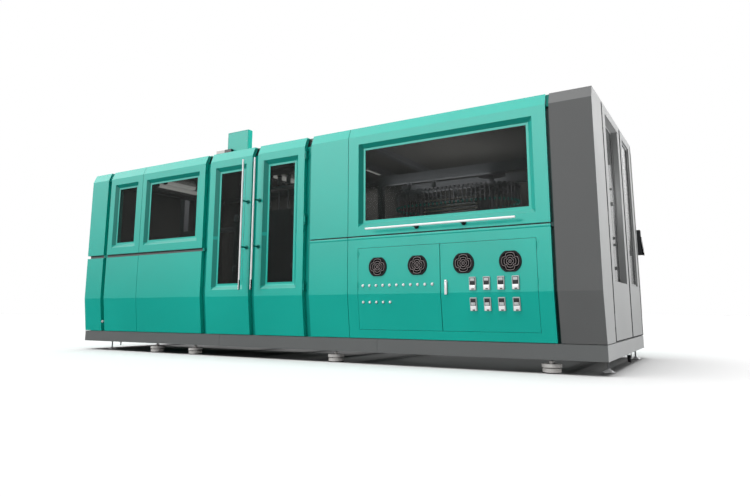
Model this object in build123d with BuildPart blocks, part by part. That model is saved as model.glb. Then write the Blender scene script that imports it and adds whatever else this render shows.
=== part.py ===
from build123d import *
import os
from math import cos, pi, radians, sin

os.makedirs("parts", exist_ok=True)

# Linear stretch blow moulding machine.
# Origin: middle of the footprint on the floor. X runs along the length, the
# operator stands on the -Y side, Z is up. Sizes in millimetres.

# Widths of the modules and of the grooves between them, from the left end
width_a = 356
groove_ab = 72
width_b_narrow = 677
seam = 6
width_b_wide = 1193
groove_bc = 93
width_c_left = 697
groove_cc = 89
width_c_right = 697
groove_cd = 94
width_d = 497
width_e = 2119
groove_ef = 32
width_f = 372

# Cross-section: depth between the two creases and the heights of its corners
depth = 2370
foot_height = 118
plinth_height = 135
panel_lip = 6
z_crease = 700
z_low_top = 1262
z_high_bottom = 1303
z_chamfer = 2379
z_roof = 2489
plinth_inset = 53
lean = 50
chamfer_inset = 45
skin = 50
end_skin = 85
seat = 0.5

# Frame
sill_width = 120
post_depth = 80
post_lap = 30
ledge_inset = 15
ledge_clearance = 2
roof_sheet = 40
top_rail = 60
plinth_sheet = 6
skirt_joints = (2614, 4800)
joint_width = 5
joint_depth = 2

# Windows
pocket_depth = 35
window_top = 2290
upper_window_bottom = 1398
tall_window_bottom = 780
reveal = 44
tall_reveal = 50
glass_frame = 22
frame_lip = 3
glass_thickness = 6
glass_lap = 10
glass_play = 0.3
window_b_narrow_margins = (94, 95)
window_b_wide_margins = (76, 102)
window_c_margin = 93
window_e_margin = 126

# End cabinet, distances measured from the front crease towards the rear
end_strip = 478
end_seam = 12
near_door_width = 1010
far_door_width = 780
end_window_margin = 147
near_end_pocket = 62
far_end_pocket = 18
end_window_bottom = 800
end_window_top = 2408
rear_opening_bottom = 800
rear_opening_top = 2300
rear_opening_margin = 45
rear_bar_heights = (1029, 1390, 1807, 1992)
rear_bar_sizes = (40, 32, 46, 24)
end_header = 30

# Control cabinet in the front of the oven module
cabinet_margin = (123, 131)
cabinet_bottom = 342
cabinet_top = 1173
cabinet_skin = 25
cabinet_seam = 7
cabinet_edge = 3
fan_height = 973
fan_offset = 225
fan_hole = 172
guard_ring = 190
guard_depth = 42
guard_rings = 3
guard_wire = 4
guard_front = 8
guard_wall = 3
rotor_radius = 80
rotor_depth = 20
hub_radius = 30
rotor_blades = 5
blade_size = (24, 3)
blade_pitch = 45
blade_root = 4
shaft_radius = 4
running_gap = 0.05
lamp_rows = ((785, 11), (618, 5))
lamp_pitch = 78.3
lamp_margin = 65
lamp_bezel = 29
lamp_dome = 22
lamp_height = 6
keypad_rows = (782, 594)
keypad_pitch = 135.3
keypad_margin = 329
keypad_size = (63, 122, 16)
keypad_count = 4
keypad_corner = 5
display_size = (49, 40)
display_depth = 2
key_size = (11, 8)
key_gap = 5
key_height = 2
dial = (6, 5)
latch_offset = 61
latch_size = (26, 131, 14)
latch_pivot_height = 806
latch_stand = 5
latch_spindle = 6
latch_chamfer = 3

# Hinges: knuckle radius, half length, and the reach of the lugs
hinge_pin = 3
hinge_play = 0.5
cabinet_knuckle = 5
cabinet_hinge_half = 30
cabinet_leaf = (20, 2)
cabinet_hinge_heights = (790, 1110)
lift_knuckle = 5
lift_hinge_half = 75
lift_lug = (16, 7)
lift_hinge_insets = {"b_narrow": 62, "b_wide": 62, "e": 90}
groove_knuckle = 7
groove_hinge_half = 60
groove_axis = (8, 12)
groove_hinge_heights = (790, 1540, 2290)
end_knuckle = 5
end_hinge_half = 60
end_hinge_heights = (450, 1370, 2290)

# Bar handles
handle_radius = 11
handle_chamfer = 2
handle_stand = 107
handle_length = 1540
handle_bottom = 770
handle_brackets = (1267, 1813)
bracket_radius = 9
flange_radius = 24
flange_thickness = 6
lift_handle_length = 1560
lift_handle_rise = 53
lift_bracket_offsets = (-250, 250)

# Feet, positions from the left end and from the front crease
mount_places = (1412, 2115, 4237, 6511)
mount_inset = 150
mount_disc = (79, 42)
mount_plate = (85, 30)
mount_neck = (30, 8)
mount_rod = 13
mount_nut = (22, 16)
mount_nut_lift = 6
foot_pad = (55, 10)
foot_cone = (44, 15, 20)
foot_rod = 8
thin_foot_inset = 215
end_foot_insets = (418, 2085)
caster_inset = 1652
caster_radius = 37
caster_width = 28
caster_lift = 3
caster_plate = (80, 6)
caster_trail = 22
caster_cheek = 4
caster_cheek_half = 24
caster_boss = 10
caster_side_play = 2
caster_axle = 6
wheel_chamfer = 5

# Roof fittings
roof_box_width = 345
roof_box_depth = 78
roof_box_height = 290
roof_box_inset = 150
roof_box_offset = 300
roof_box_corner = 4
roof_junction = (253, 42, 61)
roof_junction_inset = 102
roof_junction_overhang = 18
roof_edge_inset = 112
peg_places = (4042, 4462)
peg_radius = 9
peg_height = 22

# Ceiling lights: distance from the left end, start and end from the front crease
light_rows = ((505, 715, 1525), (755, 657, 1237), (2450, 1074, 1620), (3826, 1394, 1807))
light_width = 70
light_height = 38

# Oven
chain_pitch = 50.8
sprocket_teeth = 36
straight_links = 17
oven_axis_inset = 1000
drive_axis_from_e = 1242
chain_top = 1890
carrier_size = (30, 44, 24)
spindle_radius = 8
spindle_length = 165
chain_plate = (20, 8)
sprocket_thickness = 14
sprocket_clearance = 12
sprocket_notch = 9
sprocket_drop = 16
sprocket_web = 60
sprocket_holes = 6
drive_wheel = (155, 26)
drive_wheel_rise = 150
wheel_edge = 6
shaft = 25
oven_leg = 60
oven_beam_height = 108
oven_beam_rise = 85
oven_hangers = (366, 676)
oven_hanger_width = 36
oven_depth = 330
table_thickness = 60
bearing = (55, 60)
heater_width = 300
heater_headroom = 26
heater_end_gap = 30
heater_rows = 5
heater_tube = 8
heater_tube_margin = 30
heater_stand = 20
heater_socket = (16, 10)
heater_socket_inset = 40

# Blow station
blow_axis_from_c = 603
mould_count = 6
mould_pitch = 150
mould_size = (146, 85, 340)
mould_headroom = 23
mould_shelf = 330
mould_gap = 0.5
cavity_radius = 42
cavity_neck = 15
cavity_height = 270
cavity_shoulder = 60
cavity_neck_height = 30
platen_thickness = 60
platen_size = (1060, 760)
platen_travel = 110
tie_bar = 30
tie_bar_offset = (470, 320)
ram_radius = 50
ram_reserve = 10
end_plate = 50
end_plate_clearance = 35
bed_height = 507
bed_depth = 900
bed_plate = 45
bed_cheek = 40
bed_window = (420, 260, 40)
bed_window_count = 5
column_radius = 25
column_offset = 560
bridge_clearance = 19
bridge_size = (1200, 200, 30)
carriage_drop = 230
carriage_size = (1240, 110, 32)
rod_radius = 7
rod_clearance = 30
rod_cylinder = (28, 158)
outfeed_post = (820, 90, 1440)
outfeed_beam = (1650, 60)

# Operator terminal on the rear corner
terminal_size = (262, 90, 295)
terminal_drop = 134
terminal_corner = 6
terminal_gap = 45
terminal_offset = 30
screen_size = (26, 70, 215)
screen_lean = 6
arm_section = (26, 28)
arm_height = 1320
arm_pivot_inset = 22
arm_depth = 32
arm_pin = (12, 75)
arm_plate = (36, 95, 8)
arm_ears = (16, 40, 14)
tilt_axis_gap = 18
tilt_pin = 6
tilt_eye = 15
tilt_lug = 12

# Places worked out from the sizes above
length = (width_a + groove_ab + width_b_narrow + seam + width_b_wide + groove_bc + width_c_left
          + groove_cc + width_c_right + groove_cd + width_d + seam + width_e + groove_ef + width_f)
x_left = -length / 2
x_a1 = x_left + width_a
x_b0 = x_a1 + groove_ab
x_b1 = x_b0 + width_b_narrow
x_b2 = x_b1 + seam
x_b3 = x_b2 + width_b_wide
x_c0 = x_b3 + groove_bc
x_c1 = x_c0 + width_c_left
x_c2 = x_c1 + groove_cc
x_c3 = x_c2 + width_c_right
x_d0 = x_c3 + groove_cd
x_d1 = x_d0 + width_d
x_e0 = x_d1 + seam
x_e1 = x_e0 + width_e
x_f0 = x_e1 + groove_ef
x_right = x_f0 + width_f
y_front = -depth / 2
z_plinth_top = foot_height + plinth_height
z_panel = z_plinth_top + panel_lip
grooves = ((x_a1, x_b0), (x_b3, x_c0), (x_c1, x_c2), (x_c3, x_d0), (x_d1, x_e0), (x_e1, x_f0))
back = skin + seat
y_post_back = y_front + lean + back + post_depth
y_roof = y_front + chamfer_inset + skin + cabinet_edge
y_lift_axis = y_roof - cabinet_edge / 2
z_lift_axis = z_roof + lift_lug[1]
along_x = Vector(1, 0, 0)
along_z = Vector(0, 0, 1)
x_cab0 = x_e0 + cabinet_margin[0]
x_cab1 = x_e1 - cabinet_margin[1]
cabinet_axes = ((x_cab0 + cabinet_edge / 2, 1), (x_cab1 - cabinet_edge / 2, -1))
lift_handle_height = z_high_bottom + lift_handle_rise

# Places in the oven
chain_radius = chain_pitch * sprocket_teeth / (2 * pi)
centre_distance = chain_pitch * straight_links
y_oven = y_front + oven_axis_inset
y_run = y_oven - chain_radius
x_drive = x_e0 + drive_axis_from_e
x_return = x_drive - centre_distance
x_heat = (x_drive + x_return) / 2
z_chain_plate = chain_top - carrier_size[2]
z_spindle_tip = z_chain_plate - chain_plate[1] - spindle_length
z_sprocket = z_chain_plate - sprocket_drop
z_oven_beam = chain_top + oven_beam_rise
z_table = chain_top - oven_depth
heater_length = centre_distance - 2 * (bearing[0] + heater_end_gap)
heater_height = z_sprocket - sprocket_thickness - heater_headroom - z_table

# Places in the blow station
x_blow = x_c0 + blow_axis_from_c
z_bed = z_plinth_top + bed_height
z_mould_top = z_spindle_tip - mould_headroom
z_mould = z_mould_top - mould_size[2]
z_platen = z_mould - mould_shelf
z_platen_top = z_platen + platen_size[1]
z_tie = z_platen + platen_size[1] / 2
z_bridge = z_chamfer - bridge_clearance - bridge_size[2]
z_carriage = z_bridge - carriage_drop
x_moulds = [x_blow + (i - (mould_count - 1) / 2) * mould_pitch for i in range(mould_count)]

# Places at the operator terminal
x_pivot = x_f0 + arm_pivot_inset
y_pivot = -y_front + terminal_gap + arm_depth
x_term1 = x_right + terminal_offset
x_term0 = x_term1 - terminal_size[0]
x_tilt = x_term0 - tilt_axis_gap
terminal_bottom = arm_height - terminal_drop


def face_inset(z):
    """How far the panel face lies behind the crease at a height."""
    if z < z_crease:
        return lean * (z_crease - z) / (z_crease - z_panel)
    return chamfer_inset * max(0, z - z_chamfer) / (z_roof - z_chamfer)


def face_line(z_low, z_high, inward=0):
    """Points up the front face between two heights, moved inward by a distance."""
    bends = [z for z in (z_crease, z_chamfer) if z_low < z < z_high]
    return [(y_front + face_inset(z) + inward, z) for z in [z_low, *bends, z_high]]


def sheet_section(z_low, z_high, thickness=skin):
    """Cross-section of a panel that follows the face."""
    return face_line(z_low, z_high) + face_line(z_low, z_high, thickness)[::-1]


def hall_section(z_low, z_high, inward=0):
    """Whole cross-section of the housing, front and rear faces moved inward."""
    front = face_line(z_low, z_high, inward)
    return front + [(-y, z) for y, z in front[::-1]]


def fill_yz(points, x_start, x_end, mode=Mode.ADD):
    """Extrudes a cross-section along the machine."""
    with BuildSketch(Plane.YZ.offset(x_start)) as section:
        with BuildLine():
            Polyline(*points, close=True)
        make_face()
    extrude(section.sketch, amount=x_end - x_start, mode=mode)


def block(x0, x1, y0, y1, z0, z1, mode=Mode.ADD):
    """A box between two corners, which come in any order."""
    with Locations(((x0 + x1) / 2, (y0 + y1) / 2, (z0 + z1) / 2)):
        Box(abs(x1 - x0), abs(y1 - y0), abs(z1 - z0), mode=mode)


def upright(x, y, radius, z0, z1, mode=Mode.ADD):
    """A vertical round bar or hole."""
    with Locations((x, y, (z0 + z1) / 2)):
        Cylinder(radius, z1 - z0, mode=mode)


def rod(start, end, radius, mode=Mode.ADD):
    """A round bar or hole between two points."""
    run = Vector(*end) - Vector(*start)
    with BuildSketch(Plane(origin=start, z_dir=run)) as disc:
        Circle(radius)
    extrude(disc.sketch, amount=run.length, mode=mode)


def add_knuckle(centre, along, low, high, radius, lug):
    """A stretch of a hinge with its lug, whose corners are measured from the hinge axis."""
    start = Vector(*centre) + along * low
    end = Vector(*centre) + along * high
    rod(start, end, radius)
    p = start + Vector(*lug[0])
    q = end + Vector(*lug[1])
    block(p.X, q.X, p.Y, q.Y, p.Z, q.Z)


def add_fixed_hinge(centre, along, half, radius, lug):
    """The half of a hinge that stays: the pin and the two outer knuckles."""
    add_knuckle(centre, along, -half, -half / 2, radius, lug)
    add_knuckle(centre, along, half / 2, half, radius, lug)
    rod(Vector(*centre) - along * half, Vector(*centre) + along * half, hinge_pin)


def add_moving_hinge(centre, along, half, radius, lug):
    """The half of a hinge that turns: the middle knuckle, bored for the pin."""
    reach = half / 2 - hinge_play
    add_knuckle(centre, along, -reach, reach, radius, lug)
    rod(Vector(*centre) - along * reach, Vector(*centre) + along * reach,
        hinge_pin + running_gap, Mode.SUBTRACT)


def front_plane(inset):
    """A plane parallel to the upper face, behind the crease, looking outward."""
    return Plane.XZ.offset(-(y_front + inset))


def face_plane(x, z):
    """The plane that lies on the front face at a place, looking outward."""
    slope = lean / (z_crease - z_panel) if z < z_crease else 0
    return Plane(origin=(x, y_front + face_inset(z), z), x_dir=(1, 0, 0), z_dir=(0, -1, -slope))


def opening_sketch(x0, x1, z0, z1, margin=0):
    """A rectangle between two corners, drawn smaller by a margin all round."""
    with Locations(((x0 + x1) / 2, (z0 + z1) / 2)):
        Rectangle(x1 - x0 - 2 * margin, z1 - z0 - 2 * margin)


def cut_window(corners, side):
    """Cuts the tapered pocket, the sight opening and the glass rebate of one window."""
    sight = side + glass_frame
    with BuildSketch(front_plane(0)) as mouth:
        opening_sketch(*corners)
    with BuildSketch(front_plane(pocket_depth)) as floor:
        opening_sketch(*corners, side)
    loft([mouth.sketch, floor.sketch], mode=Mode.SUBTRACT)
    with BuildSketch(front_plane(pocket_depth)) as opening:
        opening_sketch(*corners, sight)
    extrude(opening.sketch, amount=-(skin - pocket_depth), mode=Mode.SUBTRACT)
    with BuildSketch(front_plane(pocket_depth + frame_lip)) as rebate:
        opening_sketch(*corners, sight - glass_lap)
    extrude(rebate.sketch, amount=-(skin - pocket_depth - frame_lip), mode=Mode.SUBTRACT)


def make_pane(corners, side):
    """The glass of a window, resting on the lip of its frame."""
    with BuildPart() as pane:
        with BuildSketch(front_plane(pocket_depth + frame_lip)):
            opening_sketch(*corners, side + glass_frame - glass_lap + glass_play)
        extrude(amount=-glass_thickness)
    return pane.part


def make_panel(x0, x1, z_low, z_high):
    """A plain panel that follows the face."""
    with BuildPart() as panel:
        fill_yz(sheet_section(z_low, z_high), x0, x1)
    return panel.part


def lift_hinges(name, x0, x1):
    """Places of the two hinges on the top edge of a lift-up door."""
    inset = lift_hinge_insets[name]
    return [(x, y_lift_axis, z_lift_axis) for x in (x0 + inset, x1 - inset)]


def groove_hinges(x, away):
    """Places of the hinges in the groove beside a tall door; away points into the groove."""
    return [(x + away * groove_axis[0], y_front + groove_axis[1], z) for z in groove_hinge_heights]


def make_lift_door(name, x0, x1, corners):
    """An upper door with one window, hung from the roof edge."""
    with BuildPart() as door:
        fill_yz(sheet_section(z_high_bottom, z_roof), x0, x1)
        cut_window(corners, reveal)
        for centre in lift_hinges(name, x0, x1):
            add_moving_hinge(centre, along_x, lift_hinge_half, lift_knuckle,
                             ((0, -lift_lug[0], -lift_lug[1]), (0, 0, 0)))
    return door.part


def make_tall_door(x0, x1, corners, away):
    """A full-height door with one window, hung in the groove beside it."""
    hinge_edge = x0 if away < 0 else x1
    lug = ((0, -groove_knuckle / 2, 0), (-away * groove_axis[0], groove_knuckle / 2, 0))
    with BuildPart() as door:
        fill_yz(sheet_section(z_panel, z_roof), x0, x1)
        cut_window(corners, tall_reveal)
        for centre in groove_hinges(hinge_edge, away):
            add_moving_hinge(centre, along_z, groove_hinge_half, groove_knuckle, lug)
    return door.part


def make_bar_handle(x):
    """An upright bar handle on two brackets with round flanges."""
    y_bar = y_front - handle_stand
    with BuildPart() as handle:
        upright(x, y_bar, handle_radius, handle_bottom, handle_bottom + handle_length)
        chamfer(handle.edges().filter_by(GeomType.CIRCLE), length=handle_chamfer)
        with BuildSketch(front_plane(0)):
            with Locations(*[(x, z) for z in handle_brackets]):
                Circle(flange_radius)
        extrude(amount=flange_thickness)
        with BuildSketch(front_plane(0)):
            with Locations(*[(x, z) for z in handle_brackets]):
                Circle(bracket_radius)
        extrude(amount=handle_stand)
    return handle.part


def as_group(*builders):
    """One piece made of solids that only touch, such as parts bolted together."""
    return Compound([solid for builder in builders for solid in builder.part.solids()])


def keep(part, name):
    """Labels a finished piece and writes its file."""
    part.label = name
    export_step(part, f"parts/{name}.step")


# Base frame: two long sills and a cross beam under each post
y_sill = y_front + plinth_inset + plinth_sheet + seat
y_sill_back = y_sill + sill_width
x_end_beam = x_right - plinth_sheet - seat
x_start_beam = x_left + plinth_sheet + seat
beam_centres = [(a + b) / 2 for a, b in grooves]
with BuildPart() as base_frame:
    for y0, y1 in ((y_sill, y_sill_back), (-y_sill_back, -y_sill)):
        block(x_start_beam, x_end_beam, y0, y1, foot_height, z_plinth_top)
    beams = [x_start_beam + sill_width / 2, *beam_centres, x_end_beam - sill_width / 2]
    for x in beams:
        block(x - sill_width / 2, x + sill_width / 2, y_sill, -y_sill, foot_height, z_plinth_top)
keep(base_frame.part, "base_frame")

# Plinth skirt: four sheets round the base frame, with two joint lines in front
y_skirt = y_front + plinth_inset
with BuildPart() as skirt_sides:
    for y in (y_skirt, -y_skirt - plinth_sheet):
        block(x_left, x_right, y, y + plinth_sheet, foot_height, z_plinth_top)
    for place in skirt_joints:
        x = x_left + place
        block(x, x + joint_width, y_skirt, y_skirt + joint_depth, foot_height, z_plinth_top, Mode.SUBTRACT)
with BuildPart() as skirt_ends:
    for x in (x_left, x_right - plinth_sheet):
        block(x, x + plinth_sheet, y_skirt + plinth_sheet, -y_skirt - plinth_sheet, foot_height, z_plinth_top)
keep(as_group(skirt_sides, skirt_ends), "plinth_skirt")

# Front frame: a post behind each groove and a ledge between lower and upper panels
z_post_top = z_chamfer
post_section = face_line(z_panel, z_post_top, back) + [(y_post_back, z_post_top), (y_post_back, z_panel)]
ledge_spans = ((x_left + skin, x_a1 + post_lap), (x_b0 - post_lap, x_b3 + post_lap),
               (x_d0 - post_lap, x_e1 + post_lap))
with BuildPart() as front_frame:
    fill_yz(post_section, x_left + skin + seat, x_left + skin + sill_width)
    for a, b in grooves:
        fill_yz(post_section, a - post_lap, b + post_lap)
    for a, b in ((x_left + skin + seat, x_left + skin + sill_width),
                 *[(a - post_lap, b + post_lap) for a, b in grooves]):
        block(a, b, y_post_back - post_depth, y_post_back, z_plinth_top, z_panel)
    for a, b in ledge_spans:
        block(max(a, x_left + skin + seat), b, y_front + ledge_inset, y_front + back + post_depth / 2,
              z_low_top + ledge_clearance, z_high_bottom - ledge_clearance)
    for x, away in ((x_c0, -1), (x_c3, 1)):
        lug = ((away * groove_knuckle, 0, 0), (-away * groove_knuckle / 2, back - groove_axis[1], 0))
        for centre in groove_hinges(x, away):
            add_fixed_hinge(centre, along_z, groove_hinge_half, groove_knuckle, lug)
keep(front_frame.part, "front_frame")

# Rear wall: one skin with seams where its sheets meet, and the rear posts welded to it
with BuildPart() as rear_wall:
    fill_yz([(-y, z) for y, z in sheet_section(z_panel, z_roof)], x_left, x_e1)
    for a, b in grooves[:-1]:
        x = (a + b) / 2
        groove_section = [(-y, z) for y, z in sheet_section(z_panel, z_roof, joint_depth)]
        fill_yz(groove_section, x - seam / 2, x + seam / 2, Mode.SUBTRACT)
    block(x_left, x_e1, -y_front - joint_depth, -y_front, z_low_top, z_low_top + seam, Mode.SUBTRACT)
    rear_post = face_line(z_panel, z_post_top, skin) + [(y_post_back, z_post_top), (y_post_back, z_panel)]
    for a, b in grooves[:-1]:
        fill_yz([(-y, z) for y, z in rear_post], a - post_lap, b + post_lap)
        block(a - post_lap, b + post_lap, -y_post_back, -y_post_back + post_depth, z_plinth_top, z_panel)
keep(rear_wall.part, "rear_wall")

# Roof frame: two rails and a cross rail over each post
y_rail = y_front + lean + back
z_rail_top = z_roof - roof_sheet
with BuildPart() as roof_frame:
    for y0, y1 in ((y_rail, y_rail + top_rail), (-y_rail - top_rail, -y_rail)):
        block(x_left + skin + seat, x_e1, y0, y1, z_post_top, z_rail_top)
    for x in (x_left + skin + sill_width - top_rail / 2, *beam_centres[:-1], x_e1 - top_rail / 2):
        block(x - top_rail / 2, x + top_rail / 2, y_rail, -y_rail, z_post_top, z_rail_top)
keep(roof_frame.part, "roof_frame")

# Roof sheets with the door hinge clips, the hatch and two lifting pegs
with BuildPart() as roof_panels:
    block(x_left + skin + seat, x_e1, y_roof, -y_roof, z_rail_top, z_roof)
    for a, b in grooves[:-1]:
        x = (a + b) / 2
        block(x - seam / 2, x + seam / 2, y_roof, -y_roof, z_roof - joint_depth, z_roof, Mode.SUBTRACT)
    for name, x0, x1 in (("b_narrow", x_b0, x_b1), ("b_wide", x_b2, x_b3), ("e", x_e0, x_e1)):
        for centre in lift_hinges(name, x0, x1):
            add_fixed_hinge(centre, along_x, lift_hinge_half, lift_knuckle,
                            ((0, 0, -lift_lug[1]), (0, lift_lug[0], 0)))
    for place in peg_places:
        upright(x_left + place, y_front + roof_edge_inset, peg_radius, z_roof, z_roof + peg_height)
    x = x_c0 - roof_junction_overhang
    y = y_front + roof_junction_inset
    block(x, x + roof_junction[0], y, y + roof_junction[1], z_roof, z_roof + roof_junction[2])
keep(roof_panels.part, "roof_panels")

# Air outlet box on the roof
with BuildPart() as roof_box:
    x = x_c0 + roof_box_offset - roof_box_width / 2
    y = y_front + roof_box_inset
    block(x, x + roof_box_width, y, y + roof_box_depth, z_roof, z_roof + roof_box_height)
    fillet(roof_box.edges().filter_by(Axis.Z), radius=roof_box_corner)
keep(roof_box.part, "roof_box")

# Left end wall between the front and rear panels
with BuildPart() as left_end_panel:
    fill_yz(hall_section(z_panel, z_rail_top, back), x_left, x_left + skin)
keep(left_end_panel.part, "left_end_panel")

# Fixed front panels
keep(make_panel(x_left, x_a1, z_high_bottom, z_roof), "panel_a_upper")
keep(make_panel(x_left, x_a1, z_panel, z_low_top), "panel_a_lower")
keep(make_panel(x_b0, x_b1, z_panel, z_low_top), "panel_b_lower_left")
keep(make_panel(x_b2, x_b3, z_panel, z_low_top), "panel_b_lower_right")
keep(make_panel(x_d0, x_d1, z_high_bottom, z_roof), "panel_d_upper")
keep(make_panel(x_d0, x_d1, z_panel, z_low_top), "panel_d_lower")

# Lower panel of the oven module, open for the control cabinet doors
with BuildPart() as panel_e_lower:
    fill_yz(sheet_section(z_panel, z_low_top), x_e0, x_e1)
    block(x_cab0, x_cab1, y_front - skin, y_front + lean + 2 * skin, cabinet_bottom, cabinet_top,
          Mode.SUBTRACT)
    for x, towards_door in cabinet_axes:
        lug = ((-towards_door * cabinet_leaf[0], cabinet_knuckle - cabinet_leaf[1], 0),
               (0, cabinet_knuckle, 0))
        for z in cabinet_hinge_heights:
            add_fixed_hinge((x, y_front - cabinet_knuckle, z), along_z, cabinet_hinge_half,
                            cabinet_knuckle, lug)
keep(panel_e_lower.part, "panel_e_lower")

# Window doors
b_narrow_window = (x_b0 + window_b_narrow_margins[0], x_b1 - window_b_narrow_margins[1],
                   upper_window_bottom, window_top)
b_wide_window = (x_b2 + window_b_wide_margins[0], x_b3 - window_b_wide_margins[1],
                 upper_window_bottom, window_top)
c_left_window = (x_c0 + window_c_margin, x_c1 - window_c_margin, tall_window_bottom, window_top)
c_right_window = (x_c2 + window_c_margin, x_c3 - window_c_margin, tall_window_bottom, window_top)
e_window = (x_e0 + window_e_margin, x_e1 - window_e_margin, upper_window_bottom, window_top)
lift_rows = (("b_narrow", x_b0, x_b1, b_narrow_window), ("b_wide", x_b2, x_b3, b_wide_window),
             ("e", x_e0, x_e1, e_window))
for name, x0, x1, corners in lift_rows:
    keep(make_lift_door(name, x0, x1, corners), f"door_{name}")
    keep(make_pane(corners, reveal), f"glass_{name}")
tall_rows = (("c_left", x_c0, x_c1, c_left_window, -1), ("c_right", x_c2, x_c3, c_right_window, 1))
for name, x0, x1, corners, away in tall_rows:
    keep(make_tall_door(x0, x1, corners, away), f"door_{name}")
    keep(make_pane(corners, tall_reveal), f"glass_{name}")

# Handles of the tall doors, on the stiles beside the middle groove
keep(make_bar_handle(x_c1 - window_c_margin / 2), "handle_c_left")
keep(make_bar_handle(x_c2 + window_c_margin / 2), "handle_c_right")

# Long lift handle below the oven window
x_lift = (x_e0 + x_e1) / 2
with BuildPart() as handle_e:
    with Locations(Location((x_lift, y_front - handle_stand, lift_handle_height), (0, 90, 0))):
        Cylinder(handle_radius, lift_handle_length)
    chamfer(handle_e.edges().filter_by(GeomType.CIRCLE), length=handle_chamfer)
    lift_points = [(x_lift + dx, lift_handle_height) for dx in lift_bracket_offsets]
    with BuildSketch(front_plane(0)):
        with Locations(*lift_points):
            Circle(flange_radius)
    extrude(amount=flange_thickness)
    with BuildSketch(front_plane(0)):
        with Locations(*lift_points):
            Circle(bracket_radius)
    extrude(amount=handle_stand)
keep(handle_e.part, "handle_e")

# Control cabinet doors, bent at the crease, with holes for the fans
x_cab_mid = (x_cab0 + x_cab1) / 2
door_spans = {
    "left": (x_cab0 + cabinet_edge, x_cab_mid - cabinet_seam / 2),
    "right": (x_cab_mid + cabinet_seam / 2, x_cab1 - cabinet_edge),
}
fan_centres = {
    side: [(x0 + x1) / 2 + sign * fan_offset for sign in (-1, 1)]
    for side, (x0, x1) in door_spans.items()
}
x_latch = x_cab_mid + latch_offset
for side, (x_axis, towards_door) in zip(door_spans, cabinet_axes):
    x0, x1 = door_spans[side]
    with BuildPart() as cabinet_door:
        fill_yz(sheet_section(cabinet_bottom + cabinet_edge, cabinet_top - cabinet_edge, cabinet_skin),
                x0, x1)
        with BuildSketch(front_plane(0)):
            with Locations(*[(x, fan_height) for x in fan_centres[side]]):
                Circle(fan_hole / 2)
        extrude(amount=-cabinet_skin, mode=Mode.SUBTRACT)
        lug = ((0, cabinet_knuckle - cabinet_leaf[1], 0),
               (towards_door * cabinet_leaf[0], cabinet_knuckle, 0))
        for z in cabinet_hinge_heights:
            add_moving_hinge((x_axis, y_front - cabinet_knuckle, z), along_z, cabinet_hinge_half,
                             cabinet_knuckle, lug)
        if x0 < x_latch < x1:
            rod((x_latch, y_front, latch_pivot_height), (x_latch, y_front + cabinet_skin, latch_pivot_height),
                latch_spindle + running_gap, Mode.SUBTRACT)
    keep(cabinet_door.part, f"cabinet_door_{side}")


# Axial fans: a guard with a shroud behind it that carries the motor, and a rotor
def add_disc(x, inset, amount, outer, inner=0, mode=Mode.ADD):
    """A disc or ring on the fan axis, from a plane behind the face towards the operator."""
    with BuildSketch(front_plane(inset)) as disc:
        with Locations((x, fan_height)):
            Circle(outer)
            if inner:
                Circle(inner, mode=Mode.SUBTRACT)
    extrude(disc.sketch, amount=amount, mode=mode)


def add_cross(x, inset, span, width, turn):
    """Two crossed strips on the fan axis, turned about it."""
    with BuildSketch(front_plane(inset)) as cross:
        with Locations((x, fan_height)):
            Rectangle(span, width, rotation=turn)
            Rectangle(width, span, rotation=turn)
    extrude(cross.sketch, amount=guard_wire)


def add_guard(x):
    """One fan guard with its shroud, motor strut, motor and shaft."""
    hole = fan_hole / 2
    add_disc(x, 0, guard_front, guard_ring / 2, hole - guard_wall)
    add_disc(x, guard_depth, guard_depth, hole - glass_play, hole - guard_wall)
    step = (hole - hub_radius / 2) / (guard_rings + 1)
    for ring in range(guard_rings):
        outer = hub_radius / 2 + step * (ring + 1)
        add_disc(x, -guard_front + guard_wire, guard_wire, outer, outer - guard_wire)
    add_disc(x, -guard_front + guard_wire, guard_wire, hub_radius / 2)
    add_cross(x, -guard_front + guard_wire, fan_hole - guard_wall, guard_wire, 45)
    add_cross(x, guard_depth, fan_hole - guard_wall, 2 * guard_wire, 0)
    add_disc(x, guard_depth, guard_wire, hub_radius)
    add_disc(x, guard_depth, rotor_depth + guard_wire, shaft_radius)


def make_rotor(x):
    """Hub and pitched blades, running on the motor shaft."""
    y_back = guard_depth - guard_wire
    with BuildPart() as rotor:
        add_disc(x, y_back, rotor_depth, hub_radius)
        for blade in range(rotor_blades):
            turn = radians(blade * 360 / rotor_blades)
            outward = Plane(origin=(x, y_front + y_back - rotor_depth / 2, fan_height),
                            x_dir=(0, 1, 0), z_dir=(sin(turn), 0, cos(turn)))
            with BuildSketch(outward.offset(hub_radius - blade_root)) as section:
                Rectangle(*blade_size, rotation=blade_pitch)
            extrude(section.sketch, amount=rotor_radius - hub_radius + blade_root)
        add_disc(x, y_back, rotor_depth, shaft_radius + running_gap, mode=Mode.SUBTRACT)
    return rotor.part


fan_number = 0
for side in door_spans:
    with BuildPart() as fan_guards:
        for x in fan_centres[side]:
            add_guard(x)
    keep(fan_guards.part, f"fan_guards_{side}")
    for x in fan_centres[side]:
        fan_number += 1
        keep(make_rotor(x), f"fan_rotor_{fan_number}")

# Pilot lamps of the heater circuits on the left cabinet door
with BuildPart() as pilot_lamps:
    for z, count in lamp_rows:
        for i in range(count):
            with BuildSketch(face_plane(x_cab0 + lamp_margin + i * lamp_pitch, z)):
                Circle(lamp_bezel / 2)
            extrude(amount=lamp_height / 2)
            with BuildSketch(face_plane(x_cab0 + lamp_margin + i * lamp_pitch, z)):
                Circle(lamp_dome / 2)
            extrude(amount=lamp_height * 2, taper=12)
keep(pilot_lamps.part, "pilot_lamps")

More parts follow.
